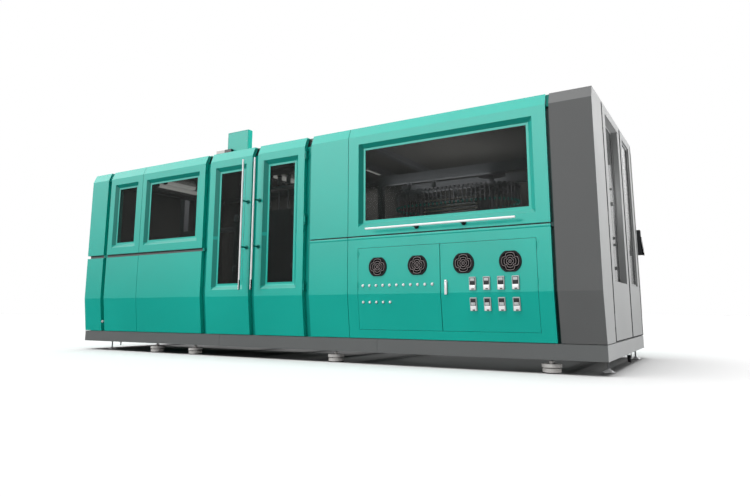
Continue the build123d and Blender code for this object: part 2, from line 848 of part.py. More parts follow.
# Drive keypads on the right cabinet door: case, display, keys and a dial
with BuildPart() as drive_keypads:
    for z in keypad_rows:
        for i in range(keypad_count):
            plane = face_plane(x_cab_mid + keypad_margin + i * keypad_pitch, z)
            with BuildSketch(plane):
                RectangleRounded(keypad_size[0], keypad_size[1], keypad_corner)
            extrude(amount=keypad_size[2])
            with BuildSketch(plane.offset(keypad_size[2])):
                with Locations((0, keypad_size[1] / 4)):
                    Rectangle(*display_size)
            extrude(amount=-display_depth, mode=Mode.SUBTRACT)
            with BuildSketch(plane.offset(keypad_size[2])):
                with Locations((0, -keypad_size[1] / 4)):
                    with GridLocations(key_size[0] + key_gap, key_size[1] + key_gap, 3, 2):
                        Rectangle(*key_size)
            extrude(amount=key_height)
            with BuildSketch(plane.offset(keypad_size[2])):
                Circle(dial[0])
            extrude(amount=dial[1])
keep(drive_keypads.part, "drive_keypads")

# Swing handle that latches the cabinet doors
with BuildPart() as cabinet_handle:
    with BuildSketch(front_plane(-seat)):
        with Locations((x_latch, latch_pivot_height)):
            Circle(latch_size[0] / 2)
    extrude(amount=latch_stand)
    with BuildSketch(front_plane(-latch_stand)):
        with Locations((x_latch, latch_pivot_height - latch_size[1] / 2 + latch_size[0] / 2)):
            SlotOverall(latch_size[1], latch_size[0], rotation=90)
    extrude(amount=latch_size[2])
    chamfer(cabinet_handle.faces().sort_by(Axis.Y)[0].outer_wire().edges(), length=latch_chamfer)
    rod((x_latch, y_front - latch_stand, latch_pivot_height),
        (x_latch, y_front + cabinet_skin, latch_pivot_height), latch_spindle)
keep(cabinet_handle.part, "cabinet_handle")

# End cabinet housing: kinked front and rear walls, roof, strips beside the doors and rear bars
y_near_door = y_front + end_strip + end_seam
y_far_door = y_near_door + near_door_width + end_seam
y_far_end = y_far_door + far_door_width
x_door_back = x_right - end_skin - seat
end_axes = ((y_near_door - end_seam / 2, 1), (y_far_end + end_seam / 2, -1))
rear_x0 = x_f0 + rear_opening_margin
rear_x1 = x_door_back - rear_opening_margin
with BuildPart() as end_cabinet:
    fill_yz(hall_section(z_panel, z_roof), x_f0, x_door_back)
    inner = face_line(z_panel, z_roof - roof_sheet, skin)
    fill_yz(inner + [(-y, z) for y, z in inner[::-1]], x_f0, x_door_back, Mode.SUBTRACT)
    fill_yz(sheet_section(z_panel, z_roof), x_door_back, x_right)
    y_strip = y_near_door - end_seam
    fill_yz(face_line(z_panel, z_roof, skin) + [(y_strip, z_roof), (y_strip, z_panel)],
            x_right - skin, x_right)
    y_strip = y_far_end + end_seam
    far_edge = [(-y, z) for y, z in face_line(z_panel, z_roof)]
    fill_yz(far_edge + [(y_strip, z_roof), (y_strip, z_panel)], x_door_back, x_right)
    block(rear_x0, rear_x1, -y_front - 2 * skin, -y_front + skin, rear_opening_bottom, rear_opening_top,
          Mode.SUBTRACT)
    for z, size in zip(rear_bar_heights, rear_bar_sizes):
        block(rear_x0, rear_x1, -y_front - skin / 2, -y_front - skin / 4, z - size / 2, z + size / 2)
    y_foot = y_front + lean + skin / 2
    for y0, y1 in ((y_foot, y_post_back), (-y_post_back, -y_foot)):
        block(x_f0 + post_lap + seat, x_door_back, y0, y1, z_plinth_top, z_panel + end_header)
    for y, towards_door in end_axes:
        for z in end_hinge_heights:
            add_fixed_hinge((x_right, y, z), along_z, end_hinge_half, end_knuckle,
                            ((-end_seam, -towards_door * end_seam / 2, 0), (0, 0, 0)))
    block(x_pivot - arm_plate[0] / 2, x_pivot + arm_plate[0] / 2, -y_front, -y_front + arm_plate[2],
          arm_height - arm_plate[1], arm_height + arm_plate[1])
    for sign in (-1, 1):
        z = arm_height + sign * arm_ears[1]
        block(x_pivot - arm_plate[0] / 2, x_pivot + arm_plate[0] / 2, -y_front, y_pivot + arm_ears[2],
              z, z + sign * arm_ears[0])
        rod((x_pivot, y_pivot, z), (x_pivot, y_pivot, z + sign * arm_ears[0]),
            arm_pin[0] + running_gap, Mode.SUBTRACT)
keep(end_cabinet.part, "end_cabinet")


def end_plane(inset):
    """A plane parallel to the end face, behind it, looking outward."""
    return Plane.YZ.offset(x_right - inset)


def make_end_door(y0, y1, pocket, y_axis, towards_door):
    """A thick end door with a straight window pocket, hinged in the seam beside it."""
    window = (y0 + end_window_margin, y1 - end_window_margin, end_window_bottom, end_window_top)
    with BuildPart() as door:
        block(x_right - end_skin, x_right, y0, y1, z_panel, z_roof)
        with BuildSketch(end_plane(0)):
            opening_sketch(*window)
        extrude(amount=-pocket, mode=Mode.SUBTRACT)
        with BuildSketch(end_plane(pocket)):
            opening_sketch(*window, glass_frame)
        extrude(amount=-(end_skin - pocket), mode=Mode.SUBTRACT)
        with BuildSketch(end_plane(pocket + frame_lip)):
            opening_sketch(*window, glass_frame - glass_lap)
        extrude(amount=-(end_skin - pocket - frame_lip), mode=Mode.SUBTRACT)
        for z in end_hinge_heights:
            add_moving_hinge((x_right, y_axis, z), along_z, end_hinge_half, end_knuckle,
                             ((-end_seam, 0, 0), (0, towards_door * end_seam / 2, 0)))
    return door.part


def make_end_pane(y0, y1, pocket):
    """The glass of an end door."""
    window = (y0 + end_window_margin, y1 - end_window_margin, end_window_bottom, end_window_top)
    with BuildPart() as pane:
        with BuildSketch(end_plane(pocket + frame_lip)):
            opening_sketch(*window, glass_frame - glass_lap + glass_play)
        extrude(amount=-glass_thickness)
    return pane.part


end_doors = {
    "near": (y_near_door, y_near_door + near_door_width, near_end_pocket),
    "far": (y_far_door, y_far_door + far_door_width, far_end_pocket),
}
for (name, place), axis in zip(end_doors.items(), end_axes):
    keep(make_end_door(*place, *axis), f"door_f_{name}")
    keep(make_end_pane(*place), f"glass_f_{name}")

# Machine mounts: disc, rubber plate, neck, rod and lock nut under both sills
z_plate = mount_disc[1] + mount_neck[1]
with BuildPart() as machine_mounts:
    for place in mount_places:
        for y in (y_front + mount_inset, -y_front - mount_inset):
            x = x_left + place
            upright(x, y, mount_disc[0], 0, mount_disc[1])
            upright(x, y, mount_neck[0], mount_disc[1], z_plate)
            upright(x, y, mount_plate[0], z_plate, z_plate + mount_plate[1])
            upright(x, y, mount_rod, z_plate + mount_plate[1], foot_height)
            with BuildSketch(Plane.XY.offset(z_plate + mount_plate[1] + mount_nut_lift)):
                with Locations((x, y)):
                    RegularPolygon(mount_nut[0], 6)
            extrude(amount=mount_nut[1])
keep(machine_mounts.part, "machine_mounts")

# Levelling feet: pad, cone and threaded rod under the end beams
x_ab = beam_centres[0]
x_end_foot = x_end_beam - sill_width / 2
foot_points = [(x_ab, y_front + thin_foot_inset), (x_ab, -y_front - thin_foot_inset)]
foot_points += [(x_end_foot, y_front + inset) for inset in end_foot_insets]
with BuildPart() as levelling_feet:
    for x, y in foot_points:
        upright(x, y, foot_pad[0], 0, foot_pad[1])
        with Locations((x, y, foot_pad[1] + foot_cone[2] / 2)):
            Cone(*foot_cone)
        upright(x, y, foot_rod, foot_pad[1] + foot_cone[2], foot_height)
keep(levelling_feet.part, "levelling_feet")

# Caster under the end beam: swivelling fork and wheel
x_caster = x_end_foot
y_caster = y_front + caster_inset
z_axle = caster_lift + caster_radius
z_fork = foot_height - seat
y_wheel = y_caster - caster_trail
cheek_reach = caster_width / 2 + caster_side_play + caster_cheek
z_cheek_top = z_fork - caster_plate[1]
cheek_outline = ((y_caster - caster_cheek_half, z_cheek_top), (y_caster + caster_cheek_half, z_cheek_top),
                 (y_wheel + caster_boss, z_axle - caster_boss), (y_wheel - caster_boss, z_axle - caster_boss))
with BuildPart() as caster_fork:
    upright(x_caster, y_caster, caster_plate[0] / 2, z_cheek_top, z_fork)
    block(x_caster - cheek_reach, x_caster + cheek_reach, y_caster - caster_cheek_half,
          y_caster + caster_cheek_half, z_cheek_top - caster_plate[1], z_cheek_top)
    for sign in (-1, 1):
        with BuildSketch(Plane.YZ.offset(x_caster + sign * (cheek_reach - caster_cheek / 2))):
            with BuildLine():
                Polyline(*cheek_outline, close=True)
            make_face()
        extrude(amount=caster_cheek / 2, both=True)
    rod((x_caster - cheek_reach - caster_side_play, y_wheel, z_axle),
        (x_caster + cheek_reach + caster_side_play, y_wheel, z_axle), caster_axle)
keep(caster_fork.part, "caster_fork")

wheel_face = caster_width / 2
with BuildPart() as caster_wheel:
    rod((x_caster - wheel_face, y_wheel, z_axle), (x_caster + wheel_face, y_wheel, z_axle), caster_radius)
    chamfer(caster_wheel.edges().filter_by(GeomType.CIRCLE), length=wheel_chamfer)
    rod((x_caster - wheel_face, y_wheel, z_axle), (x_caster + wheel_face, y_wheel, z_axle),
        caster_axle + running_gap, Mode.SUBTRACT)
keep(caster_wheel.part, "caster_wheel")

# Ceiling lights under the roof sheets
with BuildPart() as ceiling_lights:
    for place, start, end in light_rows:
        x = x_left + place
        block(x - light_width / 2, x + light_width / 2, y_front + start, y_front + end,
              z_rail_top - light_height, z_rail_top)
keep(ceiling_lights.part, "ceiling_lights")

# Oven frame: portal legs, overhead beams with hangers, table, bearings and heater box
x_leg0 = beam_centres[4]
x_leg1 = beam_centres[5] - sill_width / 4
with BuildPart() as oven_frame:
    for sign in (-1, 1):
        y = y_oven + sign * chain_radius
        for x in (x_leg0, x_leg1):
            block(x - oven_leg / 2, x + oven_leg / 2, y - oven_leg / 2, y + oven_leg / 2,
                  z_plinth_top, z_oven_beam + oven_beam_height)
        block(x_leg0, x_leg1, y - oven_leg / 2, y + oven_leg / 2, z_oven_beam, z_oven_beam + oven_beam_height)
        for place in oven_hangers:
            x = x_e0 + place
            block(x - oven_hanger_width / 2, x + oven_hanger_width / 2, y - oven_hanger_width / 2,
                  y + oven_hanger_width / 2, chain_top, z_oven_beam)
    block(x_leg0 - oven_leg / 2, x_leg1 + oven_leg / 2, y_run - oven_leg, 2 * y_oven - y_run + oven_leg,
          z_table - table_thickness, z_table)
    block(x_heat - heater_length / 2, x_heat + heater_length / 2, y_oven - heater_width / 2,
          y_oven + heater_width / 2, z_table, z_table + heater_height)
    for x in (x_drive, x_return):
        upright(x, y_oven, bearing[0], z_table, z_table + bearing[1])
        upright(x, y_oven, shaft + running_gap, z_table - table_thickness, z_table + bearing[1],
                Mode.SUBTRACT)
keep(oven_frame.part, "oven_frame")

# Heater lamps: rows of tubes on both sides of the heater box, on short end sockets
with BuildPart() as heater_lamps:
    tube_half = heater_length / 2 - heater_tube_margin
    row_step = heater_height / (heater_rows + 1)
    for sign in (-1, 1):
        y_wall = y_oven + sign * heater_width / 2
        y = y_wall + sign * heater_stand
        for row in range(heater_rows):
            z = z_table + row_step * (row + 1)
            rod((x_heat - tube_half, y, z), (x_heat + tube_half, y, z), heater_tube)
            for end in (-1, 1):
                x = x_heat + end * (heater_length / 2 - heater_socket_inset)
                block(x - heater_socket[0] / 2, x + heater_socket[0] / 2, y, y_wall,
                      z - heater_socket[1] / 2, z + heater_socket[1] / 2)
keep(heater_lamps.part, "heater_lamps")


# Preform chain: a stadium plate with a carrier and a hexagonal spindle at each pitch
def chain_places():
    """Place and heading of each carrier round the loop."""
    places = []
    for i in range(straight_links):
        step = (i + 0.5) * chain_pitch
        places.append(Location((x_return + step, y_run), 0))
        places.append(Location((x_drive - step, 2 * y_oven - y_run), 180))
    for i in range(sprocket_teeth // 2):
        turn = (i + 0.5) * 360 / sprocket_teeth
        dx = chain_radius * sin(radians(turn))
        dy = chain_radius * cos(radians(turn))
        places.append(Location((x_drive + dx, y_oven - dy), turn))
        places.append(Location((x_return - dx, y_oven + dy), 180 + turn))
    return places


with BuildPart() as preform_chain:
    with BuildSketch(Plane.XY.offset(z_chain_plate - chain_plate[1])):
        with Locations((x_heat, y_oven)):
            SlotCenterToCenter(centre_distance, 2 * chain_radius + chain_plate[0])
            SlotCenterToCenter(centre_distance, 2 * chain_radius - chain_plate[0], mode=Mode.SUBTRACT)
    extrude(amount=chain_plate[1])
    with BuildSketch(Plane.XY.offset(z_chain_plate)):
        with Locations(*chain_places()):
            Rectangle(carrier_size[0], carrier_size[1])
    extrude(amount=carrier_size[2])
    with BuildSketch(Plane.XY.offset(z_chain_plate - chain_plate[1])):
        with Locations(*chain_places()):
            RegularPolygon(spindle_radius, 6)
    extrude(amount=-spindle_length)
keep(preform_chain.part, "preform_chain")

# Sprockets: notched disc, hub and shaft, clear of the fixed loop; the drive side has a wheel on top
sprocket_radius = chain_radius - carrier_size[1] / 2 - sprocket_clearance


def make_sprocket(x, top_wheel):
    """One sprocket on its shaft."""
    hub = 2 * shaft
    wheel_top = chain_top + drive_wheel_rise
    shaft_top = wheel_top if top_wheel else z_sprocket + 2 * sprocket_thickness
    with BuildPart() as sprocket:
        with BuildSketch(Plane.XY.offset(z_sprocket)):
            with Locations((x, y_oven)):
                Circle(sprocket_radius)
                with PolarLocations(sprocket_radius, sprocket_teeth):
                    RegularPolygon(sprocket_notch, 6, mode=Mode.SUBTRACT)
                with PolarLocations((sprocket_radius + hub) / 2, sprocket_holes):
                    Circle((sprocket_radius - hub) / 2 - sprocket_web, mode=Mode.SUBTRACT)
        extrude(amount=sprocket_thickness)
        upright(x, y_oven, hub, z_sprocket - sprocket_thickness, z_sprocket + 2 * sprocket_thickness)
        upright(x, y_oven, shaft, z_table - table_thickness, shaft_top)
        if top_wheel:
            upright(x, y_oven, drive_wheel[0], wheel_top - drive_wheel[1], wheel_top)
            chamfer(sprocket.faces().sort_by(Axis.Z)[-1].outer_wire().edges(), length=wheel_edge)
    return sprocket.part


keep(make_sprocket(x_drive, True), "drive_sprocket")
keep(make_sprocket(x_return, False), "return_sprocket")

# Blow station frame: bed, end plates, tie bars, guide columns, bridge and outfeed stand
bed_x0 = beam_centres[0]
bed_x1 = x_blow + bridge_size[0] / 2
open_reach = platen_travel + mould_gap / 2 + mould_size[1] + platen_thickness
plate_reach = open_reach + end_plate_clearance
x_platen0 = x_blow - platen_size[0] / 2
x_platen1 = x_blow + platen_size[0] / 2
tie_points = [(x_blow + sx * tie_bar_offset[0], z_tie + sz * tie_bar_offset[1])
              for sx in (-1, 1) for sz in (-1, 1)]
with BuildPart() as bed_top:
    block(bed_x0, bed_x1, y_run - bed_depth / 2, y_run + bed_depth / 2, z_bed - bed_plate, z_bed)
with BuildPart() as bed_cheeks:
    for y in (y_run - bed_depth / 2, y_run + bed_depth / 2 - bed_cheek):
        with BuildSketch(Plane.XZ.offset(-y)):
            with Locations(((bed_x0 + bed_x1) / 2, (z_plinth_top + z_bed - bed_plate) / 2)):
                Rectangle(bed_x1 - bed_x0, z_bed - bed_plate - z_plinth_top)
                with GridLocations((bed_x1 - bed_x0) / bed_window_count, 0, bed_window_count, 1):
                    RectangleRounded(*bed_window, mode=Mode.SUBTRACT)
        extrude(amount=-bed_cheek)
with BuildPart() as end_plates:
    for sign in (-1, 1):
        y = y_run + sign * plate_reach
        block(x_platen0, x_platen1, y, y + sign * end_plate, z_bed, z_platen_top)
        rod((x_blow, y, z_tie), (x_blow, y + sign * end_plate, z_tie), ram_radius + running_gap,
            Mode.SUBTRACT)
with BuildPart() as bars:
    for x, z in tie_points:
        rod((x, y_run - plate_reach, z), (x, y_run + plate_reach, z), tie_bar)
    for sign in (-1, 1):
        upright(x_blow + sign * column_offset, y_run, column_radius, z_bed, z_bridge)
with BuildPart() as bridge:
    block(x_blow - bridge_size[0] / 2, x_blow + bridge_size[0] / 2, y_run - bridge_size[1] / 2,
          y_run + bridge_size[1] / 2, z_bridge, z_bridge + bridge_size[2])
x_post = x_left + outfeed_post[0]
post_half = outfeed_post[1] / 2
with BuildPart() as outfeed_stand:
    block(x_post - post_half, x_post + post_half, y_oven - post_half, y_oven + post_half, z_bed,
          z_bed + outfeed_post[2])
with BuildPart() as outfeed_arm:
    block(x_post + post_half, x_platen0, y_oven - post_half, y_oven + post_half, outfeed_beam[0],
          outfeed_beam[0] + outfeed_beam[1])
keep(as_group(bed_top, bed_cheeks, end_plates, bars, bridge, outfeed_stand, outfeed_arm), "clamp_frame")


def make_platen(sign):
    """A platen at rest in its open place, with its ram and bolted mould halves; sign is its side."""
    y_mould = y_run + sign * (platen_travel + mould_gap / 2)
    y_inner = y_mould + sign * mould_size[1]
    y_outer = y_inner + sign * platen_thickness
    ram_length = end_plate_clearance + end_plate + platen_travel + ram_reserve
    z_neck = z_mould_top - cavity_neck_height
    with BuildPart() as platen:
        block(x_platen0, x_platen1, y_inner, y_outer, z_platen, z_platen_top)
        for x, z in tie_points:
            rod((x, y_inner, z), (x, y_outer, z), tie_bar + running_gap, Mode.SUBTRACT)
        rod((x_blow, y_outer, z_tie), (x_blow, y_outer + sign * ram_length, z_tie), ram_radius)
    with BuildPart() as mould_halves:
        for x in x_moulds:
            block(x - mould_size[0] / 2, x + mould_size[0] / 2, y_mould, y_inner, z_mould, z_mould_top)
            with BuildSketch(Plane(origin=(x, y_mould, 0), x_dir=(1, 0, 0), z_dir=(0, -1, 0))):
                with BuildLine():
                    Polyline((0, z_neck - cavity_height), (cavity_radius, z_neck - cavity_height),
                             (cavity_radius, z_neck - cavity_shoulder), (cavity_neck, z_neck),
                             (cavity_neck, z_mould_top), (0, z_mould_top), close=True)
                make_face()
            revolve(axis=Axis((x, y_mould, 0), (0, 0, 1)), mode=Mode.SUBTRACT)
    return as_group(platen, mould_halves)


keep(make_platen(-1), "platen_front")
keep(make_platen(1), "platen_rear")

# Stretch carriage: cross plate on the guide columns with a rod and an air cylinder for each mould
with BuildPart() as stretch_carriage:
    z_top = z_carriage + carriage_size[2]
    block(x_blow - carriage_size[0] / 2, x_blow + carriage_size[0] / 2, y_run - carriage_size[1] / 2,
          y_run + carriage_size[1] / 2, z_carriage, z_top)
    for sign in (-1, 1):
        upright(x_blow + sign * column_offset, y_run, column_radius + running_gap, z_carriage, z_top,
                Mode.SUBTRACT)
    for x in x_moulds:
        upright(x, y_run, rod_radius, z_mould_top + rod_clearance, z_carriage)
        upright(x, y_run, rod_cylinder[0], z_top, z_top + rod_cylinder[1])
keep(stretch_carriage.part, "stretch_carriage")

# Operator terminal: swing arm on the rear wall of the end cabinet, and the tilting case
y_term = -y_front + terminal_gap
arm_half = arm_section[0] / 2
with BuildPart() as terminal_arm:
    rod((x_pivot, y_pivot, arm_height - arm_pin[1]), (x_pivot, y_pivot, arm_height + arm_pin[1]), arm_pin[0])
    block(x_pivot, x_tilt, y_pivot - arm_half, y_pivot + arm_half, arm_height - arm_section[1] / 2,
          arm_height + arm_section[1] / 2)
    rod((x_tilt, y_pivot - arm_half, arm_height), (x_tilt, y_pivot + arm_half, arm_height), tilt_eye)
    rod((x_tilt, y_pivot - arm_half, arm_height), (x_tilt, y_pivot + arm_half, arm_height),
        tilt_pin + running_gap, Mode.SUBTRACT)
keep(terminal_arm.part, "terminal_arm")

with BuildPart() as operator_terminal:
    block(x_term0, x_term1, y_term, y_term + terminal_size[1], terminal_bottom,
          terminal_bottom + terminal_size[2])
    fillet(operator_terminal.edges().filter_by(Axis.X), radius=terminal_corner)
    lug_reach = arm_half + seat + tilt_lug
    for sign in (-1, 1):
        block(x_tilt - tilt_lug, x_term0, y_pivot + sign * (arm_half + seat), y_pivot + sign * lug_reach,
              arm_height - tilt_lug, arm_height + tilt_lug)
    rod((x_tilt, y_pivot - lug_reach, arm_height), (x_tilt, y_pivot + lug_reach, arm_height), tilt_pin)
    with BuildSketch(Plane.XZ.offset(-(y_term + terminal_size[1] / 2))):
        with BuildLine():
            Polyline((x_term1, terminal_bottom), (x_term1 + screen_size[0], terminal_bottom - screen_lean),
                     (x_term1 + screen_lean, terminal_bottom + screen_size[2]),
                     (x_term1, terminal_bottom + screen_size[2]), close=True)
        make_face()
    extrude(amount=screen_size[1] / 2, both=True)
keep(operator_terminal.part, "operator_terminal")
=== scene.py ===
# %% [markdown]
# # Dressing a blow moulding machine
# The machine is seven metres long: a teal sheet-metal housing over a steel frame, with tinted
# windows, a control cabinet, an oven and a blow station inside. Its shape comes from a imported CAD
# model, which this script loads and never changes. What Blender adds is the finish: paint, glass,
# rubber, steel, and the small parts that the CAD model leaves plain.

# %% Load the frame and keep its box
from math import cos, pi, radians, sin

import bmesh
import bpy
from mathutils import Matrix, Vector


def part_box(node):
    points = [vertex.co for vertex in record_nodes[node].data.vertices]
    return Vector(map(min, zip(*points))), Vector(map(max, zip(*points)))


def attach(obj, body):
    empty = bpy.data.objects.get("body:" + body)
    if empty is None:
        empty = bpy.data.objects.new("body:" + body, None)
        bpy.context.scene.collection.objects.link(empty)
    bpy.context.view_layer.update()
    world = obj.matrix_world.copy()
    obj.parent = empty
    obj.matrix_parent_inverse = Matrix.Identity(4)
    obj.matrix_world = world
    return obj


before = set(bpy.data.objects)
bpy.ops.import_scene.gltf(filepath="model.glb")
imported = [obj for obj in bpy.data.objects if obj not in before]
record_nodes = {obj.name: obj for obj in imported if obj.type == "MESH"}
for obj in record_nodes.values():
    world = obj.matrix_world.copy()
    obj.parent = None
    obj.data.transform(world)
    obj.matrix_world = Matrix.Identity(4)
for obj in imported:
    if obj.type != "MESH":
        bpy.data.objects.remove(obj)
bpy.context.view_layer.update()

# %% [markdown]
# ## Camera
# The photograph was taken from the right, low down, with the camera tilted up by nine degrees.
# The place, the two angles and the lens come from a fit to some sixty edges of the machine. The
# small vertical shift puts the horizon where the photograph has it, instead of turning the camera.

# %% The photograph's camera
camera_place = (4.4032, -6.3748, 0.5390)
camera_yaw = radians(30.81)
camera_pitch = radians(9.291)
photo_size = (750, 496)
focal_pixels = 591.995
horizon_row = 213.27

camera_data = bpy.data.cameras.new("photo_camera")
camera_data.sensor_width = 36
camera_data.lens = focal_pixels / photo_size[0] * camera_data.sensor_width
camera_data.shift_y = (horizon_row - photo_size[1] / 2) / photo_size[0]
camera = bpy.data.objects.new("photo_camera", camera_data)
camera.location = camera_place
camera.rotation_euler = (pi / 2 + camera_pitch, 0, camera_yaw)
bpy.context.scene.collection.objects.link(camera)
bpy.context.scene.camera = camera
print("lens", round(camera_data.lens, 3), "mm, shift", round(camera_data.shift_y, 4))

# %% [markdown]
# ## Studio
# The photograph is a product picture on white. Its long front is lit softly from the left, its roof
# edge from above and its right end from behind. A picture wrapped round the scene could give that,
# but it would be one more file, so the light is made of shader nodes, lamps and a floor. The same
# few kinds of node come back all the time, so short functions make them and link them up.

# %% Helpers for node trees
def feed(node, inputs):
    """Gives each named input of a node a value, or a link from another node."""
    for name, source in inputs.items():
        if isinstance(source, bpy.types.NodeSocket):
            node.id_data.links.new(source, node.inputs[name])
        else:
            node.inputs[name].default_value = source


def add_node(tree, kind, inputs, output=0, **settings):
    """A new node with its inputs and settings; gives one of its outputs."""
    node = tree.nodes.new("ShaderNode" + kind)
    for setting, value in settings.items():
        setattr(node, setting, value)
    feed(node, inputs)
    return node.outputs[output]


def joined(tree, operation, first, *others):
    """Several levels taken together by one kind of arithmetic."""
    for other in others:
        first = add_node(tree, "Math", {0: first, 1: other}, operation=operation)
    return first


def is_ray(tree, *kinds):
    """One where a ray is of any of these kinds, else zero."""
    return joined(tree, "MAXIMUM", *(add_node(tree, "LightPath", {}, kind) for kind in kinds))


def choose(tree, factor, base, other):
    """A shader that is base where the factor is zero and other where it is one."""
    return add_node(tree, "MixShader", {0: factor, 1: base, 2: other})


def slope(tree, level, start, end, low, high):
    """A level that goes from low to high as another one goes from start to end."""
    return add_node(tree, "MapRange", {"Value": level, "From Min": start, "From Max": end,
                                       "To Min": low, "To Max": high})


def parts_of(tree, coordinates):
    """X, Y and Z of a kind of texture coordinates, each as a level."""
    place = add_node(tree, "TexCoord", {}, coordinates)
    return add_node(tree, "SeparateXYZ", {0: place}).node.outputs


print("helpers for node trees ready")

# %% [markdown]
# ### World light
# The paint mirrors a bright room above the horizon and a dark floor below it: the upper faces carry
# a pale veil that stops at the crease. Light Path gives the world three looks: white for the camera,
# a gentle one that lights the parts, and a brighter one that they mirror.

# %% World light
bpy.context.scene.view_settings.view_transform = "Standard"
sky_at_horizon = 0.2
sky_overhead = 0.75
mirrored_sky = 3.9

world = bpy.data.worlds.new("studio")
world.use_nodes = True
bpy.context.scene.world = world
tree = world.node_tree
tree.nodes.remove(tree.nodes["Background"])
sky_place = parts_of(tree, "Generated")
climb = slope(tree, sky_place["Z"], 0.0, 1.0, sky_at_horizon, sky_overhead)
dim_right = slope(tree, sky_place["X"], -0.1, 0.8, 1.0, 0.3)
rise = slope(tree, sky_place["Z"], 0.0, 0.3, mirrored_sky * 0.12, mirrored_sky)
dark_right = slope(tree, sky_place["X"], 0.1, 0.5, 1.0, 0.05)
dark_left = slope(tree, sky_place["X"], -0.9, -0.55, 0.4, 1.0)
dark_above = slope(tree, sky_place["Z"], 0.45, 0.85, 1.0, 0.45)
strengths = (joined(tree, "MULTIPLY", climb, dim_right),
             joined(tree, "MULTIPLY", rise, dark_right, dark_left, dark_above), 1.0)
soft, gloss, white = (add_node(tree, "Background", {"Color": (1, 1, 1, 1), "Strength": strength})
                      for strength in strengths)
lit_sky = choose(tree, is_ray(tree, "Is Glossy Ray"), soft, gloss)
seen_sky = choose(tree, is_ray(tree, "Is Camera Ray", "Is Transmission Ray"), lit_sky, white)
feed(tree.nodes["World Output"], {"Surface": seen_sky})
print("sky from", sky_at_horizon, "to", sky_overhead)

# %% [markdown]
# ### Suns
# Four broad suns give the direction: a key from the front left, one from above for the roof edge, a
# rim from behind on the right and one from the lower right. Light linking keeps three of them off
# the floor, which has to stay white, and gives the last one to the machine's end alone, because the
# photograph shows that end bright down to the plinth. The rest of its brightness is a lighter grey in
# the paint. No sun shows in a reflection: a hard disc in the coat isn't in the photograph.

# %% Suns
suns = {
    "key_front_left": ((-0.30, -0.94, 0.15), 0.97, 18),
    "top": ((-0.08, -0.13, 0.98), 3.0, 50),
    "rim_behind_right": ((0.82, 0.56, 0.09), 3.6, 30),
    "low_right": ((0.74, 0.06, -0.45), 1.9, 24),
}


def add_light(name, kind, energy, place=(0, 0, 0), turn=(0, 0, 0), **settings):
    """A light that shows in no reflection."""
    data = bpy.data.lights.new(name, kind)
    data.energy = energy
    for setting, value in settings.items():
        setattr(data, setting, value)
    light = bpy.data.objects.new(name, data)
    light.location = place
    light.rotation_euler = turn
    light.visible_glossy = False
    bpy.context.scene.collection.objects.link(light)
    return light


not_on_floor = bpy.data.collections.new("not_on_floor")
end_parts = bpy.data.collections.new("end_parts")
for name in ("door_f_near", "door_f_far", "end_cabinet", "plinth_skirt", "glass_f_near", "glass_f_far"):
    end_parts.objects.link(record_nodes[name])
for name, (towards, energy, spread) in suns.items():
    turn = Vector(towards).to_track_quat("Z", "Y").to_euler()
    sun = add_light(name, "SUN", energy, turn=turn, angle=radians(spread))
    if name == "low_right":
        sun.light_linking.receiver_collection = end_parts
        sun.light_linking.blocker_collection = not_on_floor
    elif name != "top":
        sun.light_linking.receiver_collection = not_on_floor
print(len(suns), "suns")

# %% [markdown]
# ### Lamps inside
# Through the tinted windows the photograph shows a dim but readable inside. The real machine has
# ceiling lights there. Area lamps under the roof stand for them, one more looks up at the roof sheets
# over the oven, and a small bulb lights the bay behind the end doors.

# %% Lamps inside the housing
facing_down = (0, 0, 0)
facing_up = (pi, 0, 0)
inside_lamps = {
    "blow_bay": ((-2.0, 0.2, 2.36), 1.2, 22, facing_down),
    "station": ((-0.4, 0.5, 2.36), 1.0, 22, facing_down),
    "oven_bay": ((1.7, 0.5, 2.25), 1.4, 12, facing_down),
    "oven_roof": ((1.7, -0.1, 1.95), 1.2, 14, facing_up),
}
for name, (place, size, power, facing) in inside_lamps.items():
    add_light(name, "AREA", power, place, facing, size=size)
add_light("end_bay", "POINT", 9, (3.29, -0.15, 1.70), shadow_soft_size=0.08)
print(len(inside_lamps) + 1, "lamps inside")

# %% [markdown]
# ### Floor
# The floor is one large sheet. The camera sees it white with a soft shadow, the parts receive only a
# little light back from it, and the coat mirrors it dark, so that the lower faces stay deep. Under
# the machine it is darker than a lamp would leave it, fading towards the edges of the plinth.

# %% Floor
floor_size = 60.0
floor_tone = 0.4
seen_floor_tone = 0.76
shade_under_machine = 0.32
mirrored_floor = 0.02


def as_object(name, shape, finish):
    """Turns a bmesh into an object of the scene with one finish."""
    mesh = bpy.data.meshes.new(name)
    shape.to_mesh(mesh)
    shape.free()
    mesh.materials.append(finish)
    made = bpy.data.objects.new(name, mesh)
    bpy.context.scene.collection.objects.link(made)
    return made


floor_finish = bpy.data.materials.new("floor_white")
floor_finish.use_nodes = True
tree = floor_finish.node_tree
tree.nodes.remove(tree.nodes["Principled BSDF"])
floor_place = parts_of(tree, "Object")
fades = (("X", -3.6, -2.2, 0.0, 1.0), ("X", 3.2, 3.6, 1.0, 0.0),
         ("Y", -1.16, -1.04, 0.0, 1.0), ("Y", 1.05, 1.25, 1.0, 0.0))
under = joined(tree, "MULTIPLY", *(slope(tree, floor_place[axis], *fade) for axis, *fade in fades))
shade = slope(tree, under, 0.0, 1.0, seen_floor_tone, seen_floor_tone * shade_under_machine)
matt = add_node(tree, "BsdfDiffuse", {"Color": (floor_tone, floor_tone, floor_tone, 1)})
seen = add_node(tree, "BsdfDiffuse", {"Color": shade})
dim = add_node(tree, "Emission", {"Strength": mirrored_floor})
mirrored = choose(tree, is_ray(tree, "Is Glossy Ray"), matt, dim)
looks = choose(tree, is_ray(tree, "Is Camera Ray", "Is Transmission Ray"), mirrored, seen)
feed(tree.nodes["Material Output"], {"Surface": looks})
